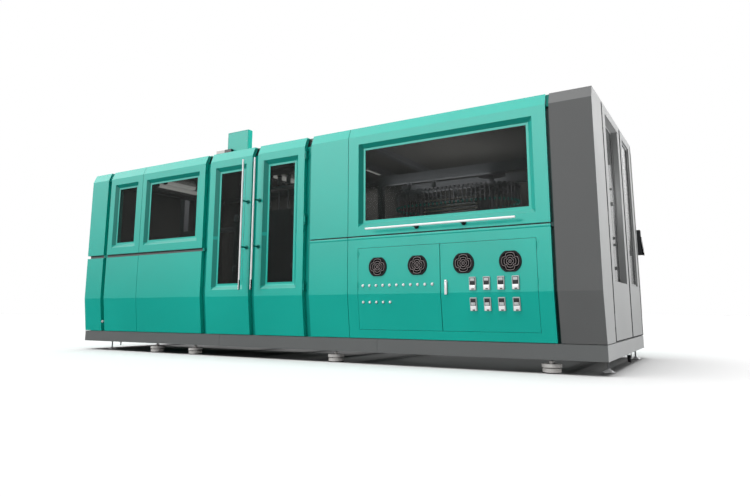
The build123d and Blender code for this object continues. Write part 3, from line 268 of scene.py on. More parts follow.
floor_shape = bmesh.new()
bmesh.ops.create_grid(floor_shape, x_segments=1, y_segments=1, size=floor_size)
studio_floor = as_object("studio_floor", floor_shape, floor_finish)
not_on_floor.objects.link(studio_floor)
not_on_floor.collection_objects[0].light_linking.link_state = "EXCLUDE"
print("floor", floor_size * 2, "m wide")

# %% [markdown]
# ## Finishes
# Powder coat is never one flat colour: it has a fine orange-peel skin, its gloss wanders a little
# and its tone drifts by a few percent over a metre. Every finish here is built the same way, from
# two noises on Object coordinates: a broad one that shifts tone and gloss, and a fine one that
# raises a bump. Object coordinates are metres on this machine, so one scale fits every part.

# %% Helpers for finishes
finishes = {}
noise_low = 0.3
noise_high = 0.7


def srgb(red, green, blue):
    """A colour as it is read off a screen, from 0 to 255, made linear."""
    steps = [value / 255 for value in (red, green, blue)]
    return tuple(s / 12.92 if s < 0.04045 else ((s + 0.055) / 1.055) ** 2.4 for s in steps) + (1,)


def scaled(colour, factor):
    """A lighter or darker version of a colour."""
    return tuple(min(1.0, channel * factor) for channel in colour[:3]) + (1,)


def noise_on_object(tree, scale, stretch=(1, 1, 1), detail=2.0):
    """Noise fixed to the part, stretched along an axis if wanted."""
    place = add_node(tree, "TexCoord", {}, "Object")
    stretched = add_node(tree, "Mapping", {"Vector": place, "Scale": stretch})
    return add_node(tree, "TexNoise", {"Vector": stretched, "Scale": scale, "Detail": detail}, "Fac")


def start_finish(name, low, high, cloud, detail=3):
    """A new material whose tone drifts between two colours; gives its tree, shader and noise."""
    finishes[name] = bpy.data.materials.new(name)
    finishes[name].use_nodes = True
    tree = finishes[name].node_tree
    clouds = noise_on_object(tree, cloud, detail=detail)
    tone = add_node(tree, "ValToRGB", {"Fac": clouds}, "Color")
    for stop, place, colour in zip(tone.node.color_ramp.elements, (noise_low, noise_high), (low, high)):
        stop.position = place
        stop.color = colour
    shader = tree.nodes["Principled BSDF"]
    feed(shader, {"Base Color": tone})
    return tree, shader, clouds


def wander(tree, noise, low, high):
    """A level that wanders between two values with a noise."""
    return slope(tree, noise, noise_low, noise_high, low, high)


def bumps(tree, noise, height):
    """Bumps of a height in metres."""
    return add_node(tree, "Bump", {"Height": noise, "Distance": height, "Strength": 1.0}, "Normal")


print("helpers for finishes ready")

# %% [markdown]
# ### Coated and moulded finishes
# Paint, plastic and rubber differ only in colour, gloss and the size of their grain, so one function
# makes them all. The clear coat on the teal gives it the soft white veil that the upper faces show
# where they mirror the bright room.

# %% Coated and moulded finishes
def coated(name, colour, gloss, drift=0.04, cloud=1.3, grain=420, height=0.00004, coat=0.0, shine=0.5):
    """Paint, plastic or rubber: tone and gloss drift slowly, and a fine grain lies on top."""
    tree, shader, clouds = start_finish(name, scaled(colour, 1 - drift), scaled(colour, 1 + drift), cloud)
    feed(shader, {"Roughness": wander(tree, clouds, gloss - 0.04, gloss + 0.04),
                  "Normal": bumps(tree, noise_on_object(tree, grain), height),
                  "Specular IOR Level": shine, "Coat Weight": coat, "Coat Roughness": 0.22})


teal = srgb(6, 176, 160)
mid_grey = srgb(95, 96, 96)
# The lighter end grey is partly painted light on the brightly lit end.
lit_end_grey = srgb(146, 147, 147)
coated("teal_coat", teal, 0.36, coat=1.0, shine=0.2)
# The end doors take the lighter grey: painted light.
coated("end_door_coat", lit_end_grey, 0.5, shine=0.25)
coated("plinth_coat", srgb(101, 103, 103), 0.52, shine=0.25)
coated("frame_coat", srgb(92, 94, 97), 0.55, drift=0.08)
coated("white_coat", srgb(251, 251, 252), 0.3, drift=0.01, cloud=4, coat=1.0)
coated("black_moulding", srgb(30, 30, 32), 0.55, cloud=20, grain=900, height=0.00006, shine=0.2)
coated("keypad_moulding", srgb(196, 198, 199), 0.42, cloud=12, grain=1200)
coated("case_moulding", srgb(58, 59, 61), 0.6, cloud=8, grain=900, shine=0.2)
coated("matt_black", srgb(14, 14, 15), 0.8, cloud=15, grain=700, height=0.0001, shine=0.0)
coated("seal_rubber", srgb(20, 20, 21), 0.75, cloud=15, grain=700, height=0.0001, shine=0.1)
coated("tread_rubber", srgb(52, 52, 54), 0.7, cloud=30, grain=800, height=0.0001)
coated("cast_grey", srgb(196, 193, 190), 0.6, drift=0.1, cloud=9, grain=240, height=0.0003)
coated("satin_silver", srgb(222, 224, 226), 0.25, drift=0.02, cloud=9, coat=0.5)
coated("guard_wire", srgb(146, 137, 137), 0.4, cloud=30)
coated("plated_foot", srgb(206, 207, 208), 0.3, cloud=30, coat=0.5)
# Teal darkened to a third: painted shade on the handle brackets and the groove caps.
coated("shaded_teal", scaled(teal, 0.34), 0.45, cloud=12, shine=0.2)
coated("ceramic", srgb(228, 222, 208), 0.45, cloud=30, grain=600)
coated("lamp_white", srgb(240, 241, 242), 0.12, drift=0.02, cloud=40, height=0.00001)
print(len(finishes), "finishes so far")

# %% [markdown]
# ### Metals
# Machined and plated steel show fine parallel marks from the tool. Noise squeezed along one axis
# gives such marks: it barely changes along the piece and changes quickly across it.

# %% Metals
tool_marks = 300


def metal(name, colour, gloss, stretch=(1, 1, 1), height=0.00002, drift=0.06):
    """Bare metal with tool marks along the axis that the stretch leaves long."""
    tree, shader, clouds = start_finish(name, scaled(colour, 1 - drift), scaled(colour, 1 + drift), 6)
    marks = noise_on_object(tree, tool_marks, stretch, detail=4)
    feed(shader, {"Roughness": wander(tree, marks, gloss - 0.08, gloss + 0.08),
                  "Normal": bumps(tree, marks, height), "Metallic": 1.0})


metal("zinc_plate", srgb(190, 192, 196), 0.34)
metal("oiled_steel", srgb(150, 150, 154), 0.36, stretch=(0.1, 1, 1), drift=0.12)
metal("milled_aluminium", srgb(206, 208, 212), 0.3, stretch=(0.04, 1, 1))
metal("chrome", srgb(232, 234, 236), 0.1, height=0.000004, drift=0.02)
metal("brass", srgb(205, 170, 96), 0.3)
print(len(finishes), "finishes so far")

# %% [markdown]
# ### Glass, quartz, a screen and light panels
# The windows are grey safety glass. Six millimetres of tinted glass can be traced as a volume, but
# at this size that only adds noise, so the pane is a thin dark film that lets a part of what is
# behind it through and takes the rest. A pane has two faces, so the film counts twice. Its gloss is
# low, because the few bright mirrored rays of a strong one leave a pattern of dots in the render.

# %% Glass, quartz, a screen and light panels
def film(name, colour, cover, gloss=0.04, specular=0.35):
    """A see-through sheet: cover is how much it hides."""
    tree, shader, clouds = start_finish(name, scaled(colour, 0.9), scaled(colour, 1.1), 3, detail=1)
    feed(shader, {"Roughness": wander(tree, noise_on_object(tree, 9), gloss * 0.7, gloss * 1.6),
                  "Alpha": cover, "Specular IOR Level": specular})


def lit_panel(name, colour, glow):
    """An opal cover with a lamp behind it."""
    tree, shader, clouds = start_finish(name, scaled(colour, 0.93), colour, 25, detail=2)
    feed(shader, {"Roughness": 0.4, "Emission Color": colour, "Emission Strength": glow})


film("tinted_glass", srgb(40, 41, 40), 0.45, specular=0.03)
# The end panes' lighter film is painted light and reflection from the bright end.
film("lit_end_glass", srgb(76, 77, 77), 0.42, specular=0.2)
film("quartz", srgb(235, 225, 205), 0.55, gloss=0.1, specular=0.6)
film("dark_screen", srgb(22, 28, 30), 1.0, gloss=0.08, specular=0.6)
lit_panel("opal", srgb(244, 244, 238), 0.5)
print(len(finishes), "finishes so far")

# %% [markdown]
# ### Paint that changes with the place
# Some CAD nodes carry more than one finish, and some carry painted shade or painted light: frame and
# ledge, roof sheets with hinge clips, doors, rear wall, end cabinet, plinth skirt and left end. Cutting
# their meshes apart would change the CAD model, and a painted image would be a file. So a mask looks
# where a point lies on the machine, and the shader picks the colour there.

# %% Masks from the place on the machine
x_axis = (1, 0, 0)
y_axis = (0, 1, 0)
z_axis = (0, 0, 1)


def place_mask(tree, axis, start, end):
    """One where the coordinate along an axis lies between two values, else zero."""
    place = add_node(tree, "TexCoord", {}, "Object")
    along = add_node(tree, "VectorMath", {0: place, 1: axis}, "Value", operation="DOT_PRODUCT")
    return add_node(tree, "Math", {0: along, 1: (start + end) / 2, 2: (end - start) / 2}, operation="COMPARE")


def recolour(name, colour, *ranges):
    """Paints the place where all the given ranges of coordinates meet."""
    tree = finishes[name].node_tree
    shader = tree.nodes["Principled BSDF"]
    before = shader.inputs["Base Color"].links[0].from_socket
    inside = joined(tree, "MULTIPLY", *(place_mask(tree, *span) for span in ranges))
    mixed = add_node(tree, "Mix", {0: inside, "A": before, "B": colour}, "Result", data_type="RGBA")
    feed(shader, {"Base Color": mixed})


print("masks ready")

# %% [markdown]
# The frame behind the front is teal in the grooves, darkened there as painted shade in their depth. Between the upper
# and lower panels of the left modules it shows as a grey ledge with a dark line of painted shadow above it, under the
# upper panel, and in the right modules only as that dark line, painted over the whole ledge. Beside the end cabinet the
# groove is painted near black as painted deep shade.

# %% Grooves and ledges
ledge = (z_axis, 1.262, 1.303)
shadow_under_panel = (z_axis, 1.284, 1.303)
first_module = (x_axis, -3.6, -3.144)
second_module = (x_axis, -3.072, -1.196)
right_modules = (x_axis, 0.474, 3.096)
ledge_grey = srgb(104, 104, 104)
dark_line = srgb(20, 22, 22)
# Teal darkened to 0.62: painted shade in the deep grooves.
coated("shaded_groove_coat", scaled(teal, 0.62), 0.45, coat=0.3, shine=0.2)
# Grey ledge, with painted shadow under the upper panel as the dark line above it.
for colour, height in ((ledge_grey, ledge), (dark_line, shadow_under_panel)):
    for module in (first_module, second_module):
        recolour("shaded_groove_coat", colour, height, module)
# Right modules: painted shadow over the whole ledge.
recolour("shaded_groove_coat", dark_line, ledge, right_modules)
# Painted deep shade in the groove beside the end cabinet.
recolour("shaded_groove_coat", srgb(6, 48, 46), (x_axis, 3.095, 3.2), (z_axis, 0.2, 2.5))
print("ledge from", ledge[1], "to", ledge[2], "m")

# %% [markdown]
# The roof node holds the sheets, their black hinge clips on the sloping edge, black pegs and a pale
# junction box, and its underside is seen grey through the windows. The clips stand off the slope, so
# the mask for them measures the distance in front of it. The walls are grey inside too.

# %% Roof and walls
front = -1.185
edge_bottom = 2.379
roof_height = 2.489
edge_inset = 0.045
above_clips = roof_height + 0.2
edge_slope = Vector((0, edge_bottom - roof_height, edge_inset)).normalized()
edge_distance = edge_slope.dot(Vector((0, front, edge_bottom)))
sheet_grey = srgb(92, 91, 88)
inner_grey = scaled(sheet_grey, 0.6)
coated("roof_coat", teal, 0.36, coat=1.0, shine=0.2)
recolour("roof_coat", dark_line, (tuple(edge_slope), edge_distance + 0.0004, edge_distance + 0.1))
recolour("roof_coat", dark_line, (z_axis, roof_height + 0.018, above_clips))
recolour("roof_coat", srgb(206, 196, 194), (z_axis, roof_height + 0.023, above_clips), (x_axis, -1.4, -0.98))
recolour("roof_coat", sheet_grey, (z_axis, 2.3, roof_height - 0.002))
coated("wall_coat", teal, 0.4, coat=0.6, shine=0.2)
recolour("wall_coat", inner_grey, (y_axis, 0.9, 1.1365), (z_axis, 0.3, 2.46))
coated("end_panel_coat", teal, 0.36, coat=1.0, shine=0.2)
recolour("end_panel_coat", inner_grey, (x_axis, -3.4505, -3.0))
print("roof edge faces", [round(value, 3) for value in edge_slope])

# %% [markdown]
# The slopes round the windows are painted darker than the flat of the doors: painted shade. Each side
# gets its own tone, darkest on the left, where the light comes from.

# %% Slopes round the windows
shaded_slopes = (y_axis, front + 0.0006, front + 0.0344)
slope_width = 0.050
window_top = 2.290
window_lefts = (-2.978, -2.313, 1.103, -1.010, -0.224)
window_bottoms = (0.780, 1.398)
coated("door_coat", teal, 0.36, coat=1.0, shine=0.2)
# Painted shade on the slopes: the top ones at 0.66, the left ones at 0.5, the bottom ones at 0.8 of the teal.
recolour("door_coat", scaled(teal, 0.66), shaded_slopes, (z_axis, window_top - 0.044, window_top + 0.01))
for left in window_lefts:
    recolour("door_coat", scaled(teal, 0.5), shaded_slopes, (z_axis, 0.75, 2.30),
             (x_axis, left - 0.004, left + slope_width - 0.003))
for bottom in window_bottoms:
    recolour("door_coat", scaled(teal, 0.8), shaded_slopes, (z_axis, bottom - 0.004, bottom + 0.036))
print(len(window_lefts), "windows with deeper slopes")

# %% [markdown]
# The end cabinet is grey outside and white inside, the white partly painted light that brightens
# the bay, with four dark guard bars in its rear opening.
# Its end and its roof edge are a lighter grey than its front, because the photograph shows them
# brighter than the lamps alone make them.

# %% End cabinet and plinth
guard_bars = ((1.029, 0.040), (1.390, 0.032), (1.807, 0.046), (1.992, 0.024))
end_bay = (x_axis, 3.12, 3.445)
bay_white = srgb(214, 215, 215)
lit_edge_grey = srgb(112, 113, 113)
coated("end_coat", mid_grey, 0.5, shine=0.25)
for height, size in guard_bars:
    reach = size / 2 + 0.001
    recolour("end_coat", dark_line, (y_axis, 1.158, 1.1745), (z_axis, height - reach, height + reach))
# White roof and rear wall inside the bay: partly painted light.
recolour("end_coat", bay_white, (z_axis, 2.30, 2.4497), (y_axis, -1.13, 1.13), end_bay)
recolour("end_coat", bay_white, (z_axis, 0.30, 2.45), (y_axis, 1.0, 1.1362), end_bay)
# Painted light on the cabinet's roof edge.
recolour("end_coat", lit_edge_grey, (z_axis, edge_bottom + 0.0005, roof_height - 0.0005),
         (y_axis, front - 0.001, front + edge_inset), (x_axis, 3.1, 3.4994))
# Painted light on the cabinet's end.
recolour("end_coat", lit_end_grey, (x_axis, 3.4994, 3.56))
skirt_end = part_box("plinth_skirt")[1].x
# Painted light: the plinth's end takes the lighter end grey too.
recolour("plinth_coat", lit_end_grey, (x_axis, skirt_end - 0.0006, skirt_end + 0.01))
print(len(guard_bars), "guard bars, skirt ends at", round(skirt_end, 4))

# %% [markdown]
# ## Finishes on the CAD nodes
# Each CAD node gets its finish through its object's material slot. The list reads like a parts
# list: what hangs outside is teal, the end cabinet and the plinth are grey, the works are metal.

# %% Assign the finishes
node_finishes = {
    "teal_coat": "panel_a_upper panel_a_lower panel_b_lower_left panel_b_lower_right panel_d_upper "
                 "panel_d_lower panel_e_lower roof_box cabinet_door_left cabinet_door_right",
    "door_coat": "door_b_narrow door_b_wide door_e door_c_left door_c_right",
    "wall_coat": "rear_wall",
    "end_panel_coat": "left_end_panel",
    "shaded_groove_coat": "front_frame",
    "roof_coat": "roof_panels",
    "end_door_coat": "door_f_near door_f_far",
    "end_coat": "end_cabinet",
    "plinth_coat": "plinth_skirt",
    "frame_coat": "base_frame roof_frame oven_frame clamp_frame",
    "tinted_glass": "glass_b_narrow glass_b_wide glass_e glass_c_left glass_c_right",
    "lit_end_glass": "glass_f_near glass_f_far",
    "white_coat": "handle_c_left handle_c_right handle_e",
    "seal_rubber": "fan_guards_left fan_guards_right fan_rotor_1 fan_rotor_2 fan_rotor_3 fan_rotor_4",
    "keypad_moulding": "drive_keypads",
    "chrome": "pilot_lamps",
    "zinc_plate": "caster_fork terminal_arm",
    "plated_foot": "levelling_feet",
    "satin_silver": "cabinet_handle",
    "cast_grey": "machine_mounts",
    "tread_rubber": "caster_wheel",
    "case_moulding": "operator_terminal",
    "opal": "ceiling_lights",
    "quartz": "heater_lamps",
    "oiled_steel": "preform_chain return_sprocket drive_sprocket",
    "milled_aluminium": "platen_front platen_rear stretch_carriage",
}
dressed = set()
for finish, names in node_finishes.items():
    for name in names.split():
        for slot in record_nodes[name].material_slots:
            slot.material = finishes[finish]
        dressed.add(name)
print("undressed nodes:", sorted(set(record_nodes) - dressed))

# %% [markdown]
# ## Helpers for small parts
# The small parts are turned, pressed or moulded, so they start from a cone, a cube or a profile
# that is spun, and get their edges broken with a bevel. Each helper adds one such form to a bmesh,
# so that a row of screws becomes one piece.

# %% Helpers that add one form
def since(shape, before):
    """The points that were added after the given ones."""
    return [vertex for vertex in shape.verts if vertex not in before]


def break_edges(shape, edges, size):
    """A small round bevel on the edges."""
    bmesh.ops.bevel(shape, geom=edges, offset=size, segments=2, profile=0.5, affect="EDGES", material=-1)


def add_block(shape, low, high, edge):
    """A block between two corners with broken edges."""
    low = Vector(low)
    high = Vector(high)
    place = Matrix.LocRotScale((low + high) / 2, None, high - low)
    made = bmesh.ops.create_cube(shape, size=1, matrix=place)
    break_edges(shape, list({link for vertex in made["verts"] for link in vertex.link_edges}), edge)


def add_rod(shape, start, end, radius, sides=24, edge=0.0, end_radius=None):
    """A round bar or cone between two points, with its end edges broken."""
    start = Vector(start)
    end = Vector(end)
    turn = (end - start).to_track_quat("Z", "Y").to_matrix().to_4x4()
    made = bmesh.ops.create_cone(shape, cap_ends=True, segments=sides, radius1=radius,
                                 radius2=radius if end_radius is None else end_radius,
                                 depth=(end - start).length,
                                 matrix=Matrix.Translation((start + end) / 2) @ turn)
    if edge:
        rims = {link for vertex in made["verts"] for link in vertex.link_edges
                if any(len(face.verts) > 4 for face in link.link_faces)}
        break_edges(shape, list(rims), edge)


def add_turned(shape, seat, axis, profile, sides=20):
    """A turned part: a profile of (radius, height) pairs spun about an axis."""
    before = set(shape.verts)
    points = [shape.verts.new((radius, 0, height)) for radius, height in profile]
    edges = [shape.edges.new(pair) for pair in zip(points, points[1:])]
    bmesh.ops.spin(shape, geom=points + edges, cent=(0, 0, 0), axis=(0, 0, 1), angle=2 * pi,
                   steps=sides, use_merge=True)
    turn = Vector(axis).to_track_quat("Z", "Y").to_matrix().to_4x4()
    bmesh.ops.transform(shape, matrix=Matrix.Translation(seat) @ turn, verts=since(shape, before))


def add_screw(shape, seat, axis, radius=0.003, height=0.0018):
    """A button-head screw with a socket, seated on a face."""
    seat = Vector(seat)
    out = Vector(axis).normalized()
    add_rod(shape, seat, seat + out * height, radius, sides=12, end_radius=radius * 0.72)
    top = max(shape.faces, key=lambda face: (face.calc_center_median() - seat).dot(out)
              if (face.calc_center_median() - seat).length < radius else -1)
    bmesh.ops.inset_individual(shape, faces=[top], thickness=radius * 0.3)
    bmesh.ops.translate(shape, vec=-out * height * 0.6, verts=list(top.verts))


print("form helpers ready")

# %% [markdown]
# The last helpers turn a finished bmesh into an object that rides on a body, and find places: the
# separate solids inside a CAD node, so that a lens or a screw is put where its lamp or plate is,
# and the directions of the front face, which leans inwards below the crease.

# %% Helpers for pieces and places
crease_height = 0.700
panel_bottom = 0.259
lean = 0.050
new_pieces = []


def finish_piece(name, shape, finish, body):
    """Makes the bmesh an object with a finish and lets it ride on a body."""
    bmesh.ops.recalc_face_normals(shape, faces=shape.faces)
    piece = as_object(name, shape, finishes[finish])
    piece.data.shade_smooth()
    piece.data.set_sharp_from_angle(angle=radians(35))
    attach(piece, body)
    new_pieces.append(piece)
    print(name, len(piece.data.polygons), "faces on", body)


def solids_of(node):
    """The boxes of the separate solids in a CAD node, from left to right."""
    shape = bmesh.new()
    shape.from_mesh(record_nodes[node].data)
    bmesh.ops.remove_doubles(shape, verts=shape.verts, dist=0.00001)
    waiting = set(shape.verts)
    boxes = []
    while waiting:
        reach = [waiting.pop()]
        low = reach[0].co.copy()
        high = reach[0].co.copy()
        while reach:
            vertex = reach.pop()
            low = Vector(map(min, low, vertex.co))
            high = Vector(map(max, high, vertex.co))
            beside = {link.other_vert(vertex) for link in vertex.link_edges} & waiting
            waiting -= beside
            reach += beside
        boxes.append((low, high))
    shape.free()
    return sorted(boxes, key=lambda box: (round(box[0].x, 3), round(box[0].z, 3)))


def face_place(x, z):
    """A point on the front face and the way the face looks there."""
    below = max(0.0, crease_height - z)
    fall = lean / (crease_height - panel_bottom)
    out = Vector((0, -1, -fall)) if below else Vector((0, -1, 0))
    return Vector((x, front + fall * below, z)), out.normalized()


def panel_place(x, z):
    """The directions of the front face at a point: right, up the face, outward."""
    seat, out = face_place(x, z)
    up = (Vector((0, 0, 1)) - out * out.z).normalized()
    return Matrix.Translation(seat) @ Matrix((Vector((1, 0, 0)), up, out)).transposed().to_4x4()


def add_in_place(shape, place, low_corner, high_corner, edge):
    """A block drawn in a part's own directions and then moved to its place."""
    before = set(shape.verts)
    add_block(shape, low_corner, high_corner, edge)
    bmesh.ops.transform(shape, matrix=place, verts=since(shape, before))


print(len(solids_of("pilot_lamps")), "lamps found")

# %% [markdown]
# ## Window seals
# Each pane sits in a black rubber profile, which shows as a thin dark line round the glass. It is
# one flat rectangle, inset to a ring and then extruded: four corners and two operators give a
# mitred frame, and a bevel rounds the rubber lip.

# %% Window seals
seal_width = 0.005
seal_height = 0.0026
pane_lap = 0.0097
seal_edge = 0.0008


def upright_corners(low, high, run, at, margin):
    """Corners of an upright rectangle that runs along X (0) or Y (1), at a place on the other axis."""
    left, right = low[run] + margin, high[run] - margin
    bottom, top = low.z + margin, high.z - margin
    return [Vector((at, side, z) if run else (side, at, z))
            for side, z in ((left, bottom), (right, bottom), (right, top), (left, top))]


def add_frame(shape, corners, out, width, height, edge):
    """A mitred frame on a flat rectangle."""
    face = shape.faces.new([shape.verts.new(corner) for corner in corners])
    ring = bmesh.ops.inset_region(shape, faces=[face], use_boundary=True, use_even_offset=True,
                                  thickness=width)["faces"]
    bmesh.ops.delete(shape, geom=[face], context="FACES_ONLY")
    grown = bmesh.ops.extrude_face_region(shape, geom=ring)["geom"]
    raised = [item for item in grown if isinstance(item, bmesh.types.BMVert)]
    bmesh.ops.translate(shape, vec=Vector(out) * height, verts=raised)
    rims = [item for item in grown if isinstance(item, bmesh.types.BMEdge)
            and any(abs(face.normal.dot(Vector(out))) < 0.5 for face in item.link_faces)]
    break_edges(shape, rims, edge)


for window in ("b_narrow", "b_wide", "e", "c_left", "c_right", "f_near", "f_far"):
    low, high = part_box("glass_" + window)
    at_end = window.startswith("f")
    corners = upright_corners(low, high, 1 if at_end else 0, high.x if at_end else low.y, pane_lap)
    shape = bmesh.new()
    add_frame(shape, corners, (1, 0, 0) if at_end else (0, -1, 0), seal_width, seal_height, seal_edge)
    finish_piece("seal_" + window, shape, "seal_rubber", "door_" + window)

# %% [markdown]
# ## Bar handles
# The bars are white coated tube on turned brackets, which are teal on the two tall doors, darkened
# there as painted shade, and black on the window door. The CAD handle is one white piece, so the
# brackets are thin covers round its feet: a spun rosette and a sleeve up to the bar. The lower end
# of each tall bar is a black grip, a short tube a little thicker than the bar.

# %% Bar handles
bar_radius = 0.011
sleeve_radius = 0.0102
grip_length = 0.112
grip_wall = 0.0007
screw_place = 0.0178
tall_bar_brackets = (1.267, 1.813)
lying_bar_height = 1.356
lying_bar_brackets = 0.25
rosette_face = front - 0.0072
rosette = ((0.0, 0.0078), (0.013, 0.0078), (0.0165, 0.0074), (0.0236, 0.0068), (0.0246, 0.0058), (0.0246, 0.0))


def add_bracket(shape, x, z, bar_y, screws):
    """A turned rosette on the door, a sleeve up to the bar and two screws."""
    add_turned(shape, (x, front, z), (0, -1, 0), rosette, sides=28)
    add_rod(shape, (x, front - 0.004, z), (x, bar_y + 0.006, z), sleeve_radius, edge=0.0006)
    for side in (-1, 1):
        along = Vector(screws) * side * screw_place
        add_screw(shape, (x + along.x, rosette_face, z + along.z), (0, -1, 0))


for name in ("c_left", "c_right"):
    low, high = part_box("handle_" + name)
    x = (low.x + high.x) / 2
    bar_y = low.y + bar_radius
    shape = bmesh.new()
    for z in tall_bar_brackets:
        add_bracket(shape, x, z, bar_y, x_axis)
    finish_piece("brackets_" + name, shape, "shaded_teal", "door_" + name)
    shape = bmesh.new()
    add_rod(shape, (x, bar_y + grip_wall, low.z - 0.0012), (x, bar_y + grip_wall, low.z + grip_length),
            bar_radius + grip_wall, edge=0.0012)
    finish_piece("grip_" + name, shape, "black_moulding", "door_" + name)

low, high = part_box("handle_e")
shape = bmesh.new()
for side in (-1, 1):
    add_bracket(shape, (low.x + high.x) / 2 + side * lying_bar_brackets, lying_bar_height, low.y + bar_radius, z_axis)
finish_piece("brackets_e", shape, "black_moulding", "door_e")

# %% [markdown]
# ## Control cabinet
# The left door holds sixteen white pilot lamps, one for each heater circuit, and the right one
# eight keypads of the drives. A lamp is a turned lens in a chrome ring. The lens profile is spun
# round the lamp's axis, which leans with the door below the crease.

# %% Pilot lamp lenses
lens_profile = ((0.0, 0.0138), (0.004, 0.0136), (0.0078, 0.0126), (0.0102, 0.0106), (0.0116, 0.0070),
                (0.0119, 0.0028))
ring_profile = ((0.0122, 0.0032), (0.0126, 0.0048), (0.0140, 0.0048), (0.0152, 0.0034), (0.0152, 0.0004))
lenses = bmesh.new()
rings = bmesh.new()
for low, high in solids_of("pilot_lamps"):
    x, y, z = (low + high) / 2
    seat, out = face_place(x, z)
    add_turned(lenses, seat, out, lens_profile)
    add_turned(rings, seat, out, ring_profile)
finish_piece("lamp_lenses", lenses, "lamp_white", "cabinet_left")
finish_piece("lamp_rings", rings, "chrome", "cabinet_left")

# %% [markdown]
# A keypad has a dark window over its upper part with two raised glossy fields in it, and a white flap
# over the plug below, with a small dark slot. The field that mirrors the bright room is painted light
# grey as a painted reflection, the other one dark: the top one in the upper row, and in the leaning
# lower row the one below it. These are thin blocks in the keypad's own directions: to the right, up
# the panel and out of it.

# %% Keypad details
keypad_depth = 0.016
keypad_window = ((-0.0262, -0.0125, keypad_depth - 0.001), (0.0262, 0.0530, keypad_depth + 0.0008), 0.0005)
keypad_display = ((-0.0205, 0.0220, keypad_depth + 0.0004), (0.0205, 0.0470, keypad_depth + 0.0020), 0.0006)
keypad_field = ((-0.0205, -0.0100, keypad_depth - 0.0008), (0.0205, 0.0170, keypad_depth + 0.0060), 0.0012)
keypad_flap = ((-0.0268, -0.0575, keypad_depth - 0.0005), (0.0268, -0.0150, keypad_depth + 0.0052), 0.0022)
keypad_slot = ((-0.0080, -0.0560, keypad_depth + 0.0048), (0.0170, -0.0465, keypad_depth + 0.0058), 0.0003)
light = bmesh.new()
dark = bmesh.new()
flaps = bmesh.new()
for low, high in solids_of("drive_keypads"):
    x, y, z = (low + high) / 2
    place = panel_place(x, z)
    upper_row = z > crease_height
    add_in_place(dark, place, *keypad_window)
    # Painted reflection: in each row one field is light where it mirrors the room, the other dark.
    add_in_place(light if upper_row else dark, place, *keypad_display)
    add_in_place(dark if upper_row else light, place, *keypad_field)
    add_in_place(flaps, place, *keypad_flap)
    add_in_place(dark, place, *keypad_slot)
finish_piece("keypad_fields_painted_reflection", light, "keypad_moulding", "cabinet_right")
finish_piece("keypad_dark_fields", dark, "case_moulding", "cabinet_right")
finish_piece("keypad_flaps", flaps, "white_coat", "cabinet_right")

# %% [markdown]
# ### Fan guards
# The guards are wire rings that dip where the struts cross them, which gives the star pattern of
# the photograph. A curve with a round bevel would do too. Here a small hexagon of points stands at
# every step round the ring and faces join the neighbours, which keeps the faces few and lets the
# ring dip freely. The round bezel with flats above and below is joined up in the same way. A dark
# filter closes the hole behind it, and four screws hold it.

# %% Fan guards
guard_front = front - 0.0095
ring_radii = (0.012, 0.033, 0.055, 0.079)
ring_steps = 64
wire_radius = 0.0027
wire_sides = 6
strut_dip = 0.26
dip_width = 0.3
bezel_radius = 0.1045
bezel_flat = 0.0945
bezel_hole = 0.088
bezel_height = 0.0098
bezel_round = 0.002
filter_radius = 0.0865
filter_depth = (0.0436, 0.0456)
screw_circle = 0.0965


def join_rings(shape, pairs):
    """Faces all round between the two rings of points in each pair."""
    for first, second in pairs:
        for step in range(len(first)):
            after = (step + 1) % len(first)
            shape.faces.new((first[step], first[after], second[after], second[step]))


def add_star_ring(shape, middle, radius):
    """A closed wire round the middle that dips inwards at four struts."""
    spots = []
    for step in range(ring_steps):
        angle = 2 * pi * step / ring_steps
        off_strut = abs(angle % (pi / 2) - pi / 4)
        reach = radius * (1 - strut_dip * max(0.0, 1 - off_strut / dip_width))
        spots.append(middle + Vector((cos(angle), 0, sin(angle))) * reach)
    depth = Vector((0, 1, 0))
    turns = [2 * pi * corner / wire_sides for corner in range(wire_sides)]
    rings = []
    for step, spot in enumerate(spots):
        across = (spots[(step + 1) % ring_steps] - spots[step - 1]).normalized().cross(depth)
        rings.append([shape.verts.new(spot + across * wire_radius * cos(turn) + depth * wire_radius * sin(turn))
                      for turn in turns])
    join_rings(shape, zip(rings, rings[1:] + rings[:1]))


def add_bezel(shape, seat):
    """A round bezel with flats above and below."""
    rings = [[], [], [], []]
    for step in range(ring_steps):
        angle = 2 * pi * (step + 0.5) / ring_steps
        out = Vector((cos(angle), 0, sin(angle)))
        reach = min(bezel_radius, bezel_flat / abs(out.z))
        corners = ((reach, 0), (reach, bezel_height - bezel_round), (reach - bezel_round, bezel_height),
                   (bezel_hole, bezel_height))
        for ring, (radius, height) in zip(rings, corners):
            ring.append(shape.verts.new(seat + out * radius - Vector((0, height, 0))))
    join_rings(shape, zip(rings, rings[1:]))


for side in ("left", "right"):
    wires, bezels, filters, screws = (bmesh.new() for part in range(4))
    for low, high in solids_of("fan_guards_" + side):
        x, y, z = (low + high) / 2
        for radius in ring_radii:
            add_star_ring(wires, Vector((x, guard_front, z)), radius)
        add_bezel(bezels, Vector((x, front, z)))
        start, end = ((x, front + depth, z) for depth in filter_depth)
        add_rod(filters, start, end, filter_radius, sides=32, edge=0.0006)
        for angle in (pi / 4, 3 * pi / 4, 5 * pi / 4, 7 * pi / 4):
            seat = (x + screw_circle * cos(angle), front - bezel_height, z + screw_circle * sin(angle))
            add_screw(screws, seat, (0, -1, 0))
    finish_piece("guard_wires_" + side, wires, "guard_wire", "cabinet_" + side)
    finish_piece("fan_bezels_" + side, bezels, "black_moulding", "cabinet_" + side)
    finish_piece("fan_filters_" + side, filters, "seal_rubber", "cabinet_" + side)
    finish_piece("guard_screws_" + side, screws, "black_moulding", "cabinet_" + side)

